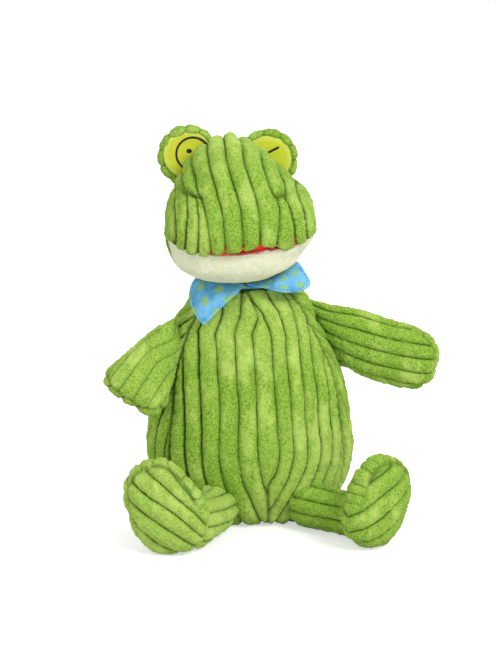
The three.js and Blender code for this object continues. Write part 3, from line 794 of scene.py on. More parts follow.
def toFrame(points, look=headLook):  # the same for points of the head before its crown leans
    lean, low, high = look["lean"]
    shift = look["shift"] + lean * smoothstep(points[:, 2], low, high)
    return headPlace(points + np.column_stack([shift, 0 * shift, 0 * shift]))


def headPhase(points, look):
    forward = smoothstep(points[:, 1], 0, -20)
    level = look["valleyHeights"][-1] * (1 - forward) + points[:, 2] * forward
    across = points[:, 0] + clouds(points, 24, 7) * 0.5
    lines = [np.interp(level, look["valleyHeights"], row) for row in look["valleys"]]
    ribs = zip(lines, lines[1:])
    return sum(np.clip((across - start) / np.maximum(end - start, 0.3), 0, 1) for start, end in ribs)


def makeHead(look):
    piece, turn, fall = ball("headPlush", look["around"], look["along"], pileGreen)
    points = headPoints(turn, fall, look)
    phase = headPhase(points, look)
    crest = ribHeight(phase)
    front = smoothstep(points[:, 1], 0, -22)
    rim = smoothstep(points[:, 2], 0, 9)  # only the lip hangs, not the roof of the mouth
    ends = np.interp(points[:, 0], look["lipPlaces"], look["lipHeights"]) + look["lipNotch"] * (1 - crest)
    roof = look["mouth"] + 0.15
    lip = roof + (ends - roof) * front * rim + mouthRise(points[:, 0])
    points[:, 2] = softAbove(points[:, 2], lip, 4)
    setPoints(piece, points)
    faceOut(piece)
    extra = np.zeros(len(points))
    darts = np.zeros(len(points))
    for dartX, dartZ in look["darts"]:
        near = bell(points[:, 0] - dartX, look["dartWidth"]) * smoothstep(points[:, 1], -12, -24)
        over = points[:, 2] - dartZ
        darts = np.maximum(darts, bell(over, 1.1) * near)
        extra += sum(rise * bell(over - up, wide) for rise, up, wide in look["dartFolds"]) * near
    extra += 1.3 * crest * smoothstep(points[:, 2], 50, 68) * smoothstep(points[:, 1], 20, 0)
    under = smoothstep(points[:, 2], lip + 2.2, lip + 0.5) * (normalsOf(piece)[:, 2] < -0.5)
    extra = extra * (1 - under) - 0.5 * under
    cheeks = 0.35 * smoothstep(np.abs(points[:, 0]), 24, 34) * smoothstep(points[:, 2], 30, 42)
    ribs = (1 - 0.8 * under) * (1 - cheeks)
    plush(piece, phase, ribs=ribs, seam=darts * 0.85, depth=3.2, seed=21, extra=extra + 1.2 * cheeks)
    # painted light on the top of the head
    keep(piece, "pale", 0.5 * smoothstep(points[:, 2], 55, 72))
    # painted shade: darker, wider creases low on the sides of the head
    outer = smoothstep(np.abs(points[:, 0] + 2), 20, 34)
    keep(piece, "sideCreaseShade", 0.9 * outer * smoothstep(points[:, 2], 60, 46))
    setPoints(piece, toFrame(pointsOf(piece)))
    return piece


print("head")
head = makeHead(headLook)
settle(head, ["head_cover"], "head")


def cutHead(turn, fall, inset, low=-60, high=80, front=None, back=None, soft=2):
    points = headPoints(turn, fall, headLook, inset)
    rise = mouthRise(points[:, 0])
    points[:, 2] = softBelow(softAbove(points[:, 2], low + rise, soft), high + rise, soft)
    if front is not None:  # keeps what lies in front of the slanting seam
        points[:, 1] = softBelow(points[:, 1], creamSeam(points[:, 2]) + front, soft)
    if back is not None:
        points[:, 1] = softAbove(points[:, 1], creamSeam(points[:, 2]) + back, soft)
    return points


def creamSeam(height):  # how far forward the cream begins: further back towards the lip
    return -headLook["cream"] - 2 + 7 * smoothstep(height, 4, 15)


def makeJaw(name, finish, inset, seed, **cut):  # inset under the lip, and full at the bottom
    piece, turn, fall = ball(name, 260, 170, finish)
    height = headPoints(turn, fall, headLook)[:, 2]
    inset = inset * smoothstep(height, 1, 11)
    points = cutHead(turn, fall, inset, **cut)
    cheek = smoothstep(fall, 0.06, 0) + smoothstep(fall, 0.94, 1)
    points[:, 0] *= 1 - 0.04 * cheek
    setPoints(piece, points)
    faceOut(piece)
    points = pointsOf(piece)
    height = 0.5 * clouds(points, 11, seed) + 0.25 * clouds(points, 2.4, seed + 1)
    calm = 1 - np.clip(cheek, 0, 1)
    raisePoints(piece, (height + 0.12 * clouds(points, 1.3, seed + 2)) * calm)
    setPoints(piece, toFrame(pointsOf(piece)))
    return piece


print("jaw and mouth")
mouthLine = headLook["mouth"]
underside = makeJaw("undersidePlush", pileGreen, 1, 31, high=mouthLine - 0.3, back=0.2)
settle(underside, ["underside_cover"], "head")
chin = makeJaw("chinPlush", pileCream, 2.4, 35, high=mouthLine - 1.5, front=-0.2)
settle(chin, ["chin_cover"])
hingePoint = headPlace(np.array([[0, -17.0, -3]]))[0] * mm
snoutWay = turnAbout(np.array([[0, -1.0, 0]]), np.zeros(3), (0, 0, 1), headLook["turn"])[0]


def blendJaw(piece):
    tuple(hingePoint + snoutWay * 16 * mm)
    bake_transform(piece)


blendJaw(chin)


def makeMouth(name, low, high, inset, node, body=None):
    piece, turn, fall = ball(name, 140, 90, liningRed)
    points = cutHead(turn, fall, inset, low=low, high=high, soft=0.4)
    behind = smoothstep(points[:, 1], -22, 0)[:, None]
    points[:, :2] -= points[:, :2] * behind * [0.12, 0.16]
    points[:, 0] -= 2 * points[:, 0] / 44 * smoothstep(np.abs(points[:, 0]), 28, 38)
    setPoints(piece, toFrame(points))
    faceOut(piece)
    raisePoints(piece, 0.2 * clouds(pointsOf(piece), 5, 61))
    settle(piece, [node], body)
    return piece


makeMouth("upperMouthLining", mouthLine - 0.3, mouthLine + 3, 2.2, "mouth_lining_upper", "head")
blendJaw(makeMouth("lowerMouthLining", mouthLine - 2.2, mouthLine - 0.7, 1.7, "mouth_lining_lower"))


def headLump(name, nodes, body, inset, **cut):
    return makeLump(name, lambda turn, fall: toFrame(cutHead(turn, fall, inset, **cut)), nodes, body)


headLump("headStuffing", ["head_filling"], "head", 5, low=mouthLine + 1.8)
headLump("undersideStuffing", ["underside_filling"], "head", 6.2, high=mouthLine - 2.4, low=5, back=1)
headLump("chinStuffing", ["chin_filling"], "chin", 6.2, high=mouthLine - 2.6, front=-9)

# Neck and neckerchief
neckLook = {
    "x": -4,
    "low": 137.3,
    "ballRise": 150,
    "radius": 17,
    "ballRadius": 14,
    "outline": [(0, 14), (9.9, 9.9), (14, 0), (14.2, -6), (17, -10.1), (17, -12.7), (0, -12.7)],
    "ribs": 8,
}


def makeNeck(look):
    piece, turn, fall = ball("neckPlush", 72, 60, pileGreen)
    low = look["low"] - look["ballRise"]
    fine = through(look["outline"], np.linspace(0, 1, 200))
    widths = np.clip(fine[:, 0], 0, look["radius"])
    fine = np.column_stack([widths, np.clip(fine[:, 1], low, look["ballRadius"])])
    even = evenShares(fine)
    radius = np.interp(fall, even, fine[:, 0])
    height = np.interp(fall, even, fine[:, 1])
    x = look["x"] + radius * np.cos(turn)
    setPoints(piece, np.column_stack([x, radius * np.sin(turn), look["ballRise"] + height]))
    faceOut(piece)
    phase = turn / (2 * math.pi) * look["ribs"]
    plush(piece, phase, depth=0.8, seed=51, extra=-0.5, tuftShare=0.6)
    return piece


print("neckerchief")
neck = makeNeck(neckLook)
settle(neck, ["neck"], "neck")

collarLook = {
    "bandInner": 17.4,
    "bandOuter": 22.5,
    "bandCut": (126, 11.3),  # how long and wide the strip is before it is folded over
    "bandThickness": 0.5,
    "bandRise": 1.75,  # of the fold's middle over the torso
    "bandHalfHeight": 1.6,
    "bandGap": 0.1,
    "thickness": 1.2,
    "stitchInset": 2.9,
    "stitchRadius": 0.2,
    "stitchLength": 1.5,
    "stitchStep": 2.3,
}


def makeBand(look):
    bm = bmesh.new()
    middle = (look["bandInner"] + look["bandOuter"]) / 2
    bmesh.ops.create_circle(bm, segments=20, radius=1)
    halfWall = (look["bandOuter"] - look["bandInner"]) / 2 - look["bandGap"]
    for vert in bm.verts:
        height = look["bandRise"] + vert.co.y * look["bandHalfHeight"]
        vert.co = Vector((middle + vert.co.x * halfWall, 0, height)) * mm
    lowest = min(bm.verts, key=lambda vert: vert.co.z)
    bmesh.ops.delete(bm, geom=[lowest], context="VERTS")
    spinRound(bm, (0, 0, 1), 160)
    bmesh.ops.remove_doubles(bm, verts=bm.verts, dist=1e-6)
    piece = addPiece("neckerchiefBand", bm, cottonBlue)
    points = pointsOf(piece)
    turn = np.arctan2(points[:, 1], points[:, 0])
    keep(piece, "flat", np.column_stack([turn * middle, points[:, 2] * 2, 0 * turn]) * mm)
    setPoints(piece, points + [neckLook["x"], 0, neckLook["low"]])
    faceOut(piece)
    raisePoints(piece, 0.22 * clouds(pointsOf(piece), 4, 71) - 0.15)
    wall = piece.modifiers.new("cloth", "SOLIDIFY")
    wall.thickness = look["bandThickness"] * mm
    wall.offset = -1
    return piece


band = makeBand(collarLook)
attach(band, "torso")
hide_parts("neckerchief_band")

# Control points of each neckerchief point, in mm in the frog's frame. Rows run out from the band,
# and each has its front edge, its middle and its other edge.
collarRows = {
    "right": [
        [(-3.2, -23.8, 141.3), (-19.4, -17.6, 141.6), (-27.6, -2.5, 141.2)],
        [(-6.2, -29, 138.2), (-22.5, -22.5, 138.6), (-32.3, -8, 139.4)],
        [(-12.4, -32.8, 133.2), (-24.5, -27.8, 132.8), (-34.6, -16.5, 132.2)],
        [(-19.2, -34.6, 127), (-25.8, -32.2, 126.6), (-31.8, -26.5, 126)],
        [(-25.4, -34.9, 120.8), (-25.9, -34.9, 120.6), (-26.4, -34.6, 120.8)],
    ],
    "left": [
        [(-1.8, -23.9, 141.3), (12.2, -17.4, 143.2), (18.6, -2.5, 147)],
        [(6.2, -29.2, 140.6), (16.8, -21.6, 143.2), (23.6, -2, 149)],
        [(18.2, -29.2, 138.2), (24, -19.6, 141.8), (28, -5, 148.6)],
        [(28.4, -23, 137), (33.6, -16.4, 138.2), (33.4, -12, 140.8)],
    ],
}


def collarSurface(rows, across, out):
    columns = [through([row[k] for row in rows], out) for k in range(3)]
    share = across[:, None]
    rest = 1 - share
    weights = rest * (1 - 2 * share), 4 * share * rest, share * (2 * share - 1)
    points = sum(column * weight for column, weight in zip(columns, weights))
    points[:, 2] += 0.35 * np.sin(across * 11 + out * 4) * out * (1.1 - out) * 3
    return points


def pointWidths(rows, out):  # straight from edge to edge
    edges = [collarSurface(rows, 0 * out + end, out) for end in (0, 1)]
    return np.linalg.norm(edges[1] - edges[0], axis=1)


def makePoint(side, flat):
    rows = collarRows[side]
    title = "neckerchiefPoint" + side.capitalize()
    bm = bmesh.new()
    bmesh.ops.create_grid(bm, x_segments=44, y_segments=40, size=1)
    piece = addPiece(title, bm, cottonBlue)
    grid = pointsOf(piece) * mm
    across, out = (grid[:, 0] + 1) / 2, (grid[:, 1] + 1) / 2
    setPoints(piece, collarSurface(rows, across, out))
    wide, long = flat
    widths = pointWidths(rows, out)
    keep(piece, "flat", np.column_stack([(across - 0.5) * widths, out * long, 0 * out]) * mm)
    faceOut(piece)
    wall = piece.modifiers.new("doubled", "SOLIDIFY")
    wall.thickness = collarLook["thickness"] * mm
    wall.offset = 0
    rounded = piece.modifiers.new("foldedEdges", "SUBSURF")
    rounded.levels = rounded.render_levels = 1
    settle(piece, ["neckerchief_point_" + side], "point_" + side)
    return piece


def stitchLine(side):  # even steps along the free edges of a point, inside the fold, with the way they run
    rows = collarRows[side]
    inset = collarLook["stitchInset"]
    out = np.linspace(0.12, 1, 160)
    widths = pointWidths(rows, out)
    keepOut = (widths > 2.2 * inset) & (out < 1 - inset / 27)
    out, share = out[keepOut], inset / widths[keepOut]
    out = np.concatenate([out, out[::-1]])
    across = np.concatenate([share, 1 - share[::-1]])
    line = collarSurface(rows, across, out)
    lengths = np.concatenate([[0], np.cumsum(np.linalg.norm(np.diff(line, axis=0), axis=1))])
    steps = np.arange(1, lengths[-1], collarLook["stitchStep"])
    across, out = np.interp(steps, lengths, across), np.interp(steps, lengths, out)
    here = collarSurface(rows, across, out)
    way = np.gradient(here, axis=0)
    aside = collarSurface(rows, across + 0.01, out) - here
    down = collarSurface(rows, across, out + 0.01) - here
    normal = np.cross(aside, down)
    normal /= np.linalg.norm(normal, axis=1)[:, None]
    normal *= np.where(normal[:, 1] + normal[:, 2] * -0.6 < 0, 1, -1)[:, None]
    return here + normal * (collarLook["thickness"] / 2 + 0.12), way


def makeStitches(side):
    bm = bmesh.new()
    look = collarLook
    for place, way in zip(*stitchLine(side)):
        made = bmesh.ops.create_uvsphere(bm, u_segments=8, v_segments=6, radius=look["stitchRadius"] * mm)
        turn = Vector(way).to_track_quat("Z", "Y").to_matrix().to_4x4()
        stretch = Matrix.Diagonal((1, 1, look["stitchLength"] / look["stitchRadius"] / 2, 1))
        there = Matrix.Translation(Vector(place) * mm)
        bmesh.ops.transform(bm, verts=made["verts"], matrix=there @ turn @ stretch)
    piece = addPiece("neckerchiefStitches" + side.capitalize(), bm, threadBlue)
    piece.data.polygons.foreach_set("use_smooth", [True] * len(piece.data.polygons))
    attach(piece, "point_" + side)
    return piece


# How wide and long each point was cut, in mm, and what share of that it covers
flatPoints = {"right": (38, 27, 0.62), "left": (31, 33, 0.6)}
for side, (wide, long, share) in flatPoints.items():
    point = makePoint(side, (wide, long))
    makeStitches(side)

# Eyes
eyeLook = {
    "radius": 16.9,
    "depth": 12,
    "front": 10,
    "bumps": 11,  # round the pod's edge
    "bumpDepth": 2.2,
    "frontFlat": 0.12,  # how far the pod's front bulges, of its depth
    "felt": 13.6,
    "feltThickness": 1.2,
    "rimWidth": 2.4,
    "ring": 9.5,
    "ringPlace": (2.6, 1.9),
    "threadRadius": 0.6,
    "pupil": 1.4,
    "pupilPlace": (0.4, 3.6),
    "dashPlace": (3, 6.3),
    "dashRadius": 0.68,
    "dashHalf": 3.2,  # half its length between the round ends
    "dashSlant": 63,
}


def eyePlace(x, z):
    def place(points):  # from the eye's frame, whose felt faces -Y, to the frog's
        return headPlace(points + [x, eyeLook["front"], z])

    return place


def makePod(name, place, node, seed):
    piece, turn, fall = ball(name, 170, 110, pileGreen)
    look = eyeLook
    angle = fall * math.pi
    radius = look["radius"] * np.sin(angle) ** 0.75
    behind = -look["depth"] * np.cos(angle)
    y = np.where(behind < 0, behind * look["frontFlat"], behind)
    y -= 1.6 * bell(radius - 15.8, 1.8) * (behind < 0)
    setPoints(piece, np.column_stack([radius * np.cos(turn), y, radius * np.sin(turn)]))
    faceOut(piece)
    points = pointsOf(piece)
    phase = turn / (2 * math.pi) * look["bumps"] + clouds(points, 12, seed) * 0.12
    edge = smoothstep(radius, 11, 15.5)
    extra = 0.9 * edge - 0.5 * (behind < 0)
    plush(piece, phase, ribs=edge * 0.6, depth=look["bumpDepth"], seed=seed, extra=extra)
    setPoints(piece, place(pointsOf(piece)))
    settle(piece, [node], "head")


def makeFeltDisc(name, place, node, offset):
    piece, turn, fall = ball(name, 96, 48, feltYellow)
    look = eyeLook
    angle = fall * math.pi
    radius = look["felt"] * np.sin(angle) ** 0.35
    behind = -np.cos(angle)
    y = np.sign(behind) * np.abs(behind) ** 0.5 * look["feltThickness"] / 2 - 1.4
    y -= 0.5 * (1 - (radius / look["felt"]) ** 2)
    setPoints(piece, np.column_stack([radius * np.cos(turn), y, radius * np.sin(turn)]))
    faceOut(piece)
    rim = look["felt"] - look["rimWidth"]
    keep(piece, "rim", smoothstep(radius, rim - 0.4, rim + 0.4))
    raisePoints(piece, 0.12 * clouds(pointsOf(piece), 3, 81))
    setPoints(piece, place(pointsOf(piece) + [offset[0], 0, offset[1]]))
    settle(piece, [node], "head")


def threadPiece(name, bm, place, node):
    piece = addPiece(name, bm, threadBlack)
    setPoints(piece, place(pointsOf(piece)))
    faceOut(piece)
    settle(piece, [node], "head")


print("eyes")
rightEye = eyePlace(-30.5, 58.3)
leftEye = eyePlace(14.7, 55.5)
makePod("eyePodRight", rightEye, "eye_pod_right", 91)
makePod("eyePodLeft", leftEye, "eye_pod_left", 95)
makeFeltDisc("eyeFeltRight", rightEye, "eye_felt_right", (-0.6, 1.6))
makeFeltDisc("eyeFeltLeft", leftEye, "eye_felt_left", (-0.1, 0.8))
feltFront = -2.35


def onFelt(place, lift):  # where a stitch lies on the felt, in metres
    return Vector((place[0], feltFront + lift, place[1])) * mm


bm = bmesh.new()
bmesh.ops.create_circle(bm, segments=10, radius=eyeLook["threadRadius"] * mm)
turnShape(bm, 90, "X")
bmesh.ops.translate(bm, verts=bm.verts, vec=Vector((eyeLook["ring"], 0, 0)) * mm)
turnShape(bm, 90, "X")
spinRound(bm, (0, 1, 0), 120)
bmesh.ops.translate(bm, verts=bm.verts, vec=onFelt(eyeLook["ringPlace"], 0))
threadPiece("eyeRingRight", bm, rightEye, "eye_ring_right")

bm = bmesh.new()
bmesh.ops.create_uvsphere(bm, u_segments=32, v_segments=20, radius=eyeLook["pupil"] * mm)
bmesh.ops.scale(bm, verts=bm.verts, vec=(1.15, 0.26, 0.95))
bmesh.ops.translate(bm, verts=bm.verts, vec=onFelt(eyeLook["pupilPlace"], -0.15))
threadPiece("eyePupilRight", bm, rightEye, "eye_pupil_right")

bm = bmesh.new()
bmesh.ops.create_uvsphere(bm, u_segments=20, v_segments=24, radius=eyeLook["dashRadius"] * mm)
for vert in bm.verts:
    vert.co.z += math.copysign(eyeLook["dashHalf"] * mm, vert.co.z) if abs(vert.co.z) > 1e-9 else 0
    vert.co.y *= 0.75
turnShape(bm, eyeLook["dashSlant"], "Y")
bmesh.ops.translate(bm, verts=bm.verts, vec=onFelt(eyeLook["dashPlace"], -0.1))
threadPiece("eyeDashLeft", bm, leftEye, "eye_dash_left")

# Limbs
armRows = [
    (0, 0.95, 0.12),
    (0.08, 0.93, 0.42),
    (0.22, 0.92, 0.82),
    (0.45, 0.97, 1),
    (0.68, 1, 0.98),
    (0.84, 0.9, 0.86),
    (0.94, 0.68, 0.62),
    (0.99, 0.38, 0.34),
    (1, 0.02, 0.02),
]
handRows = armRows[:5] + [(0.84, 0.97, 0.9), (0.93, 0.88, 0.72), (0.98, 0.62, 0.42), (1, 0.02, 0.02)]
footRows = [
    (0, 0.02, 0.02),
    (0.03, 0.42, 0.45),
    (0.12, 0.74, 0.8),
    (0.3, 0.96, 1),
    (0.5, 1, 1),
    (0.7, 0.97, 0.96),
    (0.87, 0.78, 0.78),
    (0.97, 0.45, 0.45),
    (1, 0.02, 0.02),
]
legRows = [
    (0, 0.02, 0.02),
    (0.04, 0.7, 0.7),
    (0.15, 1, 1),
    (0.5, 1, 0.98),
    (0.85, 0.94, 0.92),
    (0.97, 0.7, 0.7),
    (1, 0.02, 0.02),
]


def unit(vector):
    vector = np.asarray(vector, float)
    return vector / np.linalg.norm(vector)


def limbPoints(turn, fall, look, inset=0, fromShare=0):
    start = inset if look.get("closed") else 0
    length = look["length"] - inset - start
    fine = through(look["rows"], np.linspace(0, 1, 500))
    scale = [length, look["height"] / 2, look["thickness"] / 2]
    even = evenShares(fine * scale)
    share = 1 - fall
    along, tall, thick = (np.interp(share, even, fine[:, k]) for k in range(3))
    along = fromShare + along * (1 - fromShare) if fromShare else along
    tall = tall * (1 + (look.get("rootShare", 1) - 1) * (1 - along) ** look.get("rootTaper", 2))
    turning = smoothstep(along, 0, 0.6)[:, None]
    up = look["rootUp"] * (1 - turning) + look["tipUp"] * turning
    up /= np.linalg.norm(up, axis=1)[:, None]
    across = np.cross(up, look["way"])
    across /= np.linalg.norm(across, axis=1)[:, None]
    fuller = 1 + look.get("lowFull", 0) * smoothstep(along, 0.25, 0.8) * (np.sin(turn) < 0)
    halfTall = np.maximum(tall * look["height"] / 2 * fuller - inset, 0.01)
    halfThick = np.maximum(thick * look["thickness"] / 2 - inset, 0.01)
    centre = look["root"] + look["way"] * (start + along * length)[:, None]
    points = centre + across * (np.cos(turn) * halfThick)[:, None] + up * (np.sin(turn) * halfTall)[:, None]
    return points, along, halfTall, halfThick


def makeLimb(name, look, seed):
    piece, turn, fall = ball(name, look["around"], look["along"], pileGreen)
    points, along, halfTall, halfThick = limbPoints(turn, fall, look)
    setPoints(piece, points)
    faceOut(piece)
    lean = np.arcsin(np.clip(np.sin(turn), -1, 1)) / (math.pi / 2)
    quarter = math.pi / 4 * (halfTall + halfThick)
    offset = 0.5 * (halfTall * np.sin(turn) + quarter * lean)
    distance = (along - 0.5) * look["length"]
    slope = math.radians(look.get("ribSlope", 0))
    sway = clouds(points, 22, seed + 3) * 0.12
    bend = look.get("ribBend", 0) * np.maximum(-offset, 0) ** 2
    ribPlace = offset * math.cos(slope) + distance * math.sin(slope) - bend
    phase = ribPlace / look["pitch"] + look["phase"] + sway
    rim = halfThick / (look["thickness"] / 2) * np.abs(np.cos(turn))
    ribs = np.full(len(turn), look.get("ribs", 1.0))
    crest = 1 - ribs * (1 - ribHeight(phase))
    if look.get("rimCut"):  # a side band whose ribs cross the edge
        outline = np.arctan2(halfTall * np.sin(turn), distance)
        bandPhase = outline * look["height"] / 2 / look["bandPitch"] + clouds(points, 9, seed + 5) * 0.4
        here = smoothstep(along, look["bandFrom"] - 0.08, look["bandFrom"] + 0.08)
        here = here * smoothstep(points[:, 2], look["bandAbove"] - 8, look["bandAbove"] + 8)
        share = smoothstep(rim, look["rimCut"] + 0.06, look["rimCut"] - 0.06) * here
        crest = crest * (1 - share) + (1 - look["bandRibs"] * (1 - ribHeight(bandPhase))) * share
        phase = np.where(share > 0.5, bandPhase, phase)
        ribs = ribs * (1 - share) + look["bandRibs"] * share
        pucker = 0.75 + 0.5 * clouds(points, 3.5, seed + 6)
        seam = bell((rim - look["rimCut"]) * look["thickness"] / 2, 1.2) * here * pucker
        extra = -look["seamDepth"] * seam + look["bandRise"] * share
    else:
        seam = bell(rim * look["thickness"] / 2, 1.2) * 0.5
        extra = -1.2 * seam
    extra = extra - look["depth"] * (1 - crest)
    plush(piece, phase, ribs=ribs, seam=seam * look.get("seamShade", 0.8), depth=0, seed=seed, extra=extra)
    # painted light over the whole piece
    keep(piece, "pale", np.full(len(turn), look.get("pale", 0.0)))
    return piece


def heading(side, forward, droop):
    ahead, down = math.radians(forward), math.radians(droop)
    level = math.cos(down)
    return np.array([side * math.cos(ahead) * level, -math.sin(ahead) * level, -math.sin(down)])


def squareTo(way, direction):
    return unit(direction - np.dot(direction, way) * way)


def armLook(side, at, forward, droop, length, height, twist=0, rootForward=0, **more):
    way = heading(side, forward, droop)
    lean = math.radians(25)
    seam = np.array([[-side * math.sin(lean), 0, math.cos(lean)]])
    seam = turnAbout(seam, np.zeros(3), (0, 0, 1), -side * rootForward)[0]
    look = {
        "root": np.array(at) - way * 2,
        "way": way,
        "length": length,
        "height": height,
        "thickness": 23,
        "rootUp": squareTo(way, seam) if twist else unit(seam),
        "tipUp": turnAbout(squareTo(way, seam)[None], np.zeros(3), way, twist)[0],
        "rows": armRows,
        "around": 170,
        "along": 140,
        "phase": 0.5,
        "rimCut": 0.3,
        "bandFrom": 0.72,
        "bandPitch": 6.7,
        "bandRise": 0.6,
        "bandRibs": 0.6,
        "bandAbove": -20,  # in height
        "seamDepth": 1,
        "seamShade": 0.35,
    }
    return {**look, **more}


print("arms")
leftArm = armLook(
    1,
    at=(43.02, 0, 107),
    forward=8,
    droop=15.5,
    length=69,
    height=38,
    rootShare=1.25,
    pitch=7.9,
    depth=2.4,
    phase=0.68,
    ribSlope=-4,
)
rightArm = armLook(
    -1,
    at=(-42, -10.89, 112),
    forward=40,
    droop=42,
    length=54.5,
    height=35.5,
    twist=65,
    rootForward=20,
    rows=handRows,
    rootShare=0.58,
    rootTaper=1.2,
    lowFull=0.3,
    pitch=8.6,
    depth=1.6,
    ribs=0.6,
    # painted light over the whole arm
    pale=0.25,
    bandRibs=1.3,
    bandRise=0.9,
)
for side, look, seed in (("left", leftArm, 101), ("right", rightArm, 111)):
    title = side.capitalize()
    arm = makeLimb("armPlush" + title, look, seed)
    root = look["root"] + look["way"] * 2
    "arm_" + side
    tuple((root - look["way"] * 2) * mm)
    tuple((root + look["way"] * 17) * mm)
    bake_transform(arm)
    settle(arm, ["arm_cover_" + side])
    makeLump(
        "armStuffing" + title,
        lambda turn, fall: limbPoints(turn, fall, look, 5.5, 0.52)[0],
        ["arm_filling_" + side],
        "arm_" + side,
    )

print("legs and feet")
footSlump = 0.42  # how far the right foot's upper inner corner slopes down to the leg
slumpFrom = 26  # above the floor
legPlaces = {
    "left": {
        "hip": (32.7, -32.7),
        "ankle": (61.6, -54),
        "foot": (71, -63),
        "faces": (0.72, -0.69),
        "lean": 60,
        "girth": 25.5,
        "pale": 0,
        "phase": 0.2,
        "slope": 0,
    },
    "right": {
        "hip": (-20, -38),
        "ankle": (-29, -66),
        "foot": (-46.5, -76.5),
        "faces": (-0.2, -0.98),
        "lean": 105,
        "girth": 27.5,
        # painted light over the whole leg
        "pale": 0.75,
        "phase": 0.4,
        "slope": -12,
    },
}


def footLook(place, ribSlope, phase, length, **more):
    faces = unit([*place["faces"], 0])
    level = np.array([-faces[1], faces[0], 0])
    lean = math.radians(place["lean"])
    way = level * math.cos(lean) + np.array([0, 0, 1]) * math.sin(lean)
    widthWay = np.cross(faces, way)
    halfRise = math.hypot(length / 2 * way[2], 23 * widthWay[2])
    centre = np.array([*place["foot"], halfRise - 0.5])
    look = {
        "root": centre - way * length / 2,
        "way": way,
        "length": length,
        "height": 46,
        "thickness": 26,
        "rootUp": widthWay,
        "tipUp": widthWay,
        "rows": footRows,
        "around": 190,
        "along": 150,
        "pitch": 10.4,
        "phase": phase,
        "depth": 2.9,
        "ribSlope": ribSlope,
        "rimCut": 0.5,
        "bandFrom": -0.2,
        "bandPitch": 7.6,
        "bandRise": 0.3,
        "bandRibs": 0.6,
        "bandAbove": 30,
        "seamDepth": 1.3,
        "closed": True,
    }
    return {**look, **more}


def makeLeg(name, place, seed):
    hip = np.array([*place["hip"], 14.0])
    ankle = np.array([*place["ankle"], 14.0])
    way = unit(ankle - hip)
    span = np.linalg.norm(ankle - hip)
    look = {
        "root": hip - way * 10,
        "way": way,
        "length": span + 22,
        "height": place["girth"],
        "thickness": place["girth"],
        "pale": place["pale"],
        "rootUp": np.array([0, 0, 1.0]),
        "tipUp": np.array([0, 0, 1.0]),
        "rows": legRows,
        "around": 110,
        "along": 90,
        "pitch": 9,
        "phase": place["phase"],
        "ribSlope": place["slope"],
        "depth": 2.8,
    }
    piece = makeLimb(name, look, seed)
    points = pointsOf(piece)
    points[:, 2] = np.maximum(points[:, 2], 1.4)
    setPoints(piece, points)
    return piece, look, hip, ankle, way


# painted light on each foot, most on the right foot
soles = {
    "left": footLook(legPlaces["left"], 36, 0.1, 53, pale=0.1),
    "right": footLook(legPlaces["right"], -42, 0.35, 56, pale=0.55, ribBend=0.014),
}
for side, seed in (("left", 121), ("right", 131)):
    title = side.capitalize()
    place = legPlaces[side]
    leg, look, hip, ankle, way = makeLeg("legPlush" + title, place, seed)
    "leg_" + side
    tuple((hip - way * 6) * mm)
    tuple((hip + way * 12) * mm)
    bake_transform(leg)
    settle(leg, ["leg_cover_" + side])
    makeLump(
        "legStuffing" + title,
        lambda turn, fall: limbPoints(turn, fall, look, 4, 0)[0],
        ["leg_filling_" + side],
        "leg_" + side,
    )
    sole = soles[side]
    foot = makeLimb("footPlush" + title, sole, seed + 5)
    points = pointsOf(foot)
    if side == "right":
        slump = footSlump * smoothstep(points[:, 0], -50, -24)
        points[:, 2] -= slump * np.maximum(points[:, 2] - slumpFrom, 0)
    points[:, 2] = softAbove(points[:, 2], 0.3, 2)
    setPoints(foot, points)
    settle(foot, ["foot_cover_" + side], "foot_" + side)
    makeLump(
        "footStuffing" + title,
        lambda turn, fall: limbPoints(turn, fall, sole, 5, 0)[0],
        ["foot_filling_" + side],
        "foot_" + side,
    )

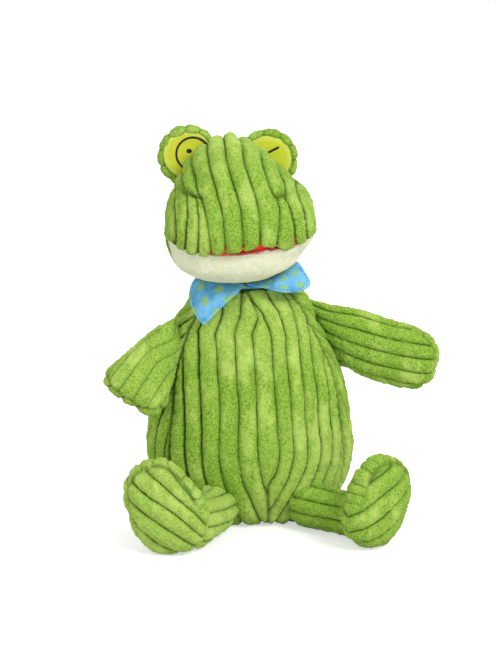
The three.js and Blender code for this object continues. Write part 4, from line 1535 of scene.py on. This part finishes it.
# Camera, lamps and floor
print("studio")
elevation = math.radians(studio["elevation"])
back = Vector((0, -math.cos(elevation), math.sin(elevation)))
cameraData = bpy.data.cameras.new("camera")
camera = bpy.data.objects.new("camera", cameraData)
bpy.context.scene.collection.objects.link(camera)
camera.location = Vector(studio["aim"]) + back * studio["distance"]
camera.rotation_euler = (-back).to_track_quat("-Z", "Y").to_euler()
cameraData.sensor_width = 36
cameraData.lens = 36 * studio["distance"] / studio["frameHeight"]
cameraData.clip_start = 0.05
cameraData.clip_end = 20
bpy.context.scene.camera = camera
bpy.context.scene.view_settings.view_transform = "Standard"


def addLamp(name, place, size, power):
    data = bpy.data.lights.new(name, "AREA")
    data.shape = "DISK"
    data.size = size
    data.energy = power
    lamp = bpy.data.objects.new(name, data)
    lamp.location = place
    lamp.rotation_euler = (Vector(studio["lampAim"]) - Vector(place)).to_track_quat("-Z", "Y").to_euler()
    bpy.context.scene.collection.objects.link(lamp)


for name, (place, size, power) in studio["lamps"].items():
    addLamp(name, place, size, power)

bm = bmesh.new()
bmesh.ops.create_grid(bm, x_segments=1, y_segments=1, size=studio["floorSize"])
floorFinish = Finish("floorWhite")
grain = floorFinish.cloud(3, detail=2)
floorColour = floorFinish.mix(grain * 0.1, *[(tone, tone, tone, 1) for tone in studio["floorTones"]])
paper = floorFinish.node("ShaderNodeBsdfDiffuse", values={"Color": floorColour})
seen = floorFinish.node("ShaderNodeLightPath", out="Is Camera Ray")
glowing = {"Color": (1, 1, 1, 1), "Strength": seen * studio["floorGlow"]}
glow = floorFinish.node("ShaderNodeEmission", values=glowing)
both = floorFinish.node("ShaderNodeAddShader", values={0: paper, 1: glow})
floorFinish.node("ShaderNodeOutputMaterial", values={"Surface": both})
floor = addPiece("floor", bm, floorFinish.data)

worldFinish = Finish("studioWorld", world=True)
rays = worldFinish.node("ShaderNodeLightPath")
cameraRay = Wire(worldFinish, rays.socket.node.outputs["Is Camera Ray"])
glossyRay = Wire(worldFinish, rays.socket.node.outputs["Is Glossy Ray"])
clear = worldFinish.node("ShaderNodeMath", {"operation": "MAXIMUM"}, {0: cameraRay, 1: glossyRay})
strength = clear * (1 - studio["worldStrength"]) + studio["worldStrength"]
sky = worldFinish.node("ShaderNodeBackground", values={"Color": (1, 1, 1, 1), "Strength": strength})
worldFinish.node("ShaderNodeOutputWorld", values={"Surface": sky})
bpy.context.scene.world = worldFinish.data

print("finished")
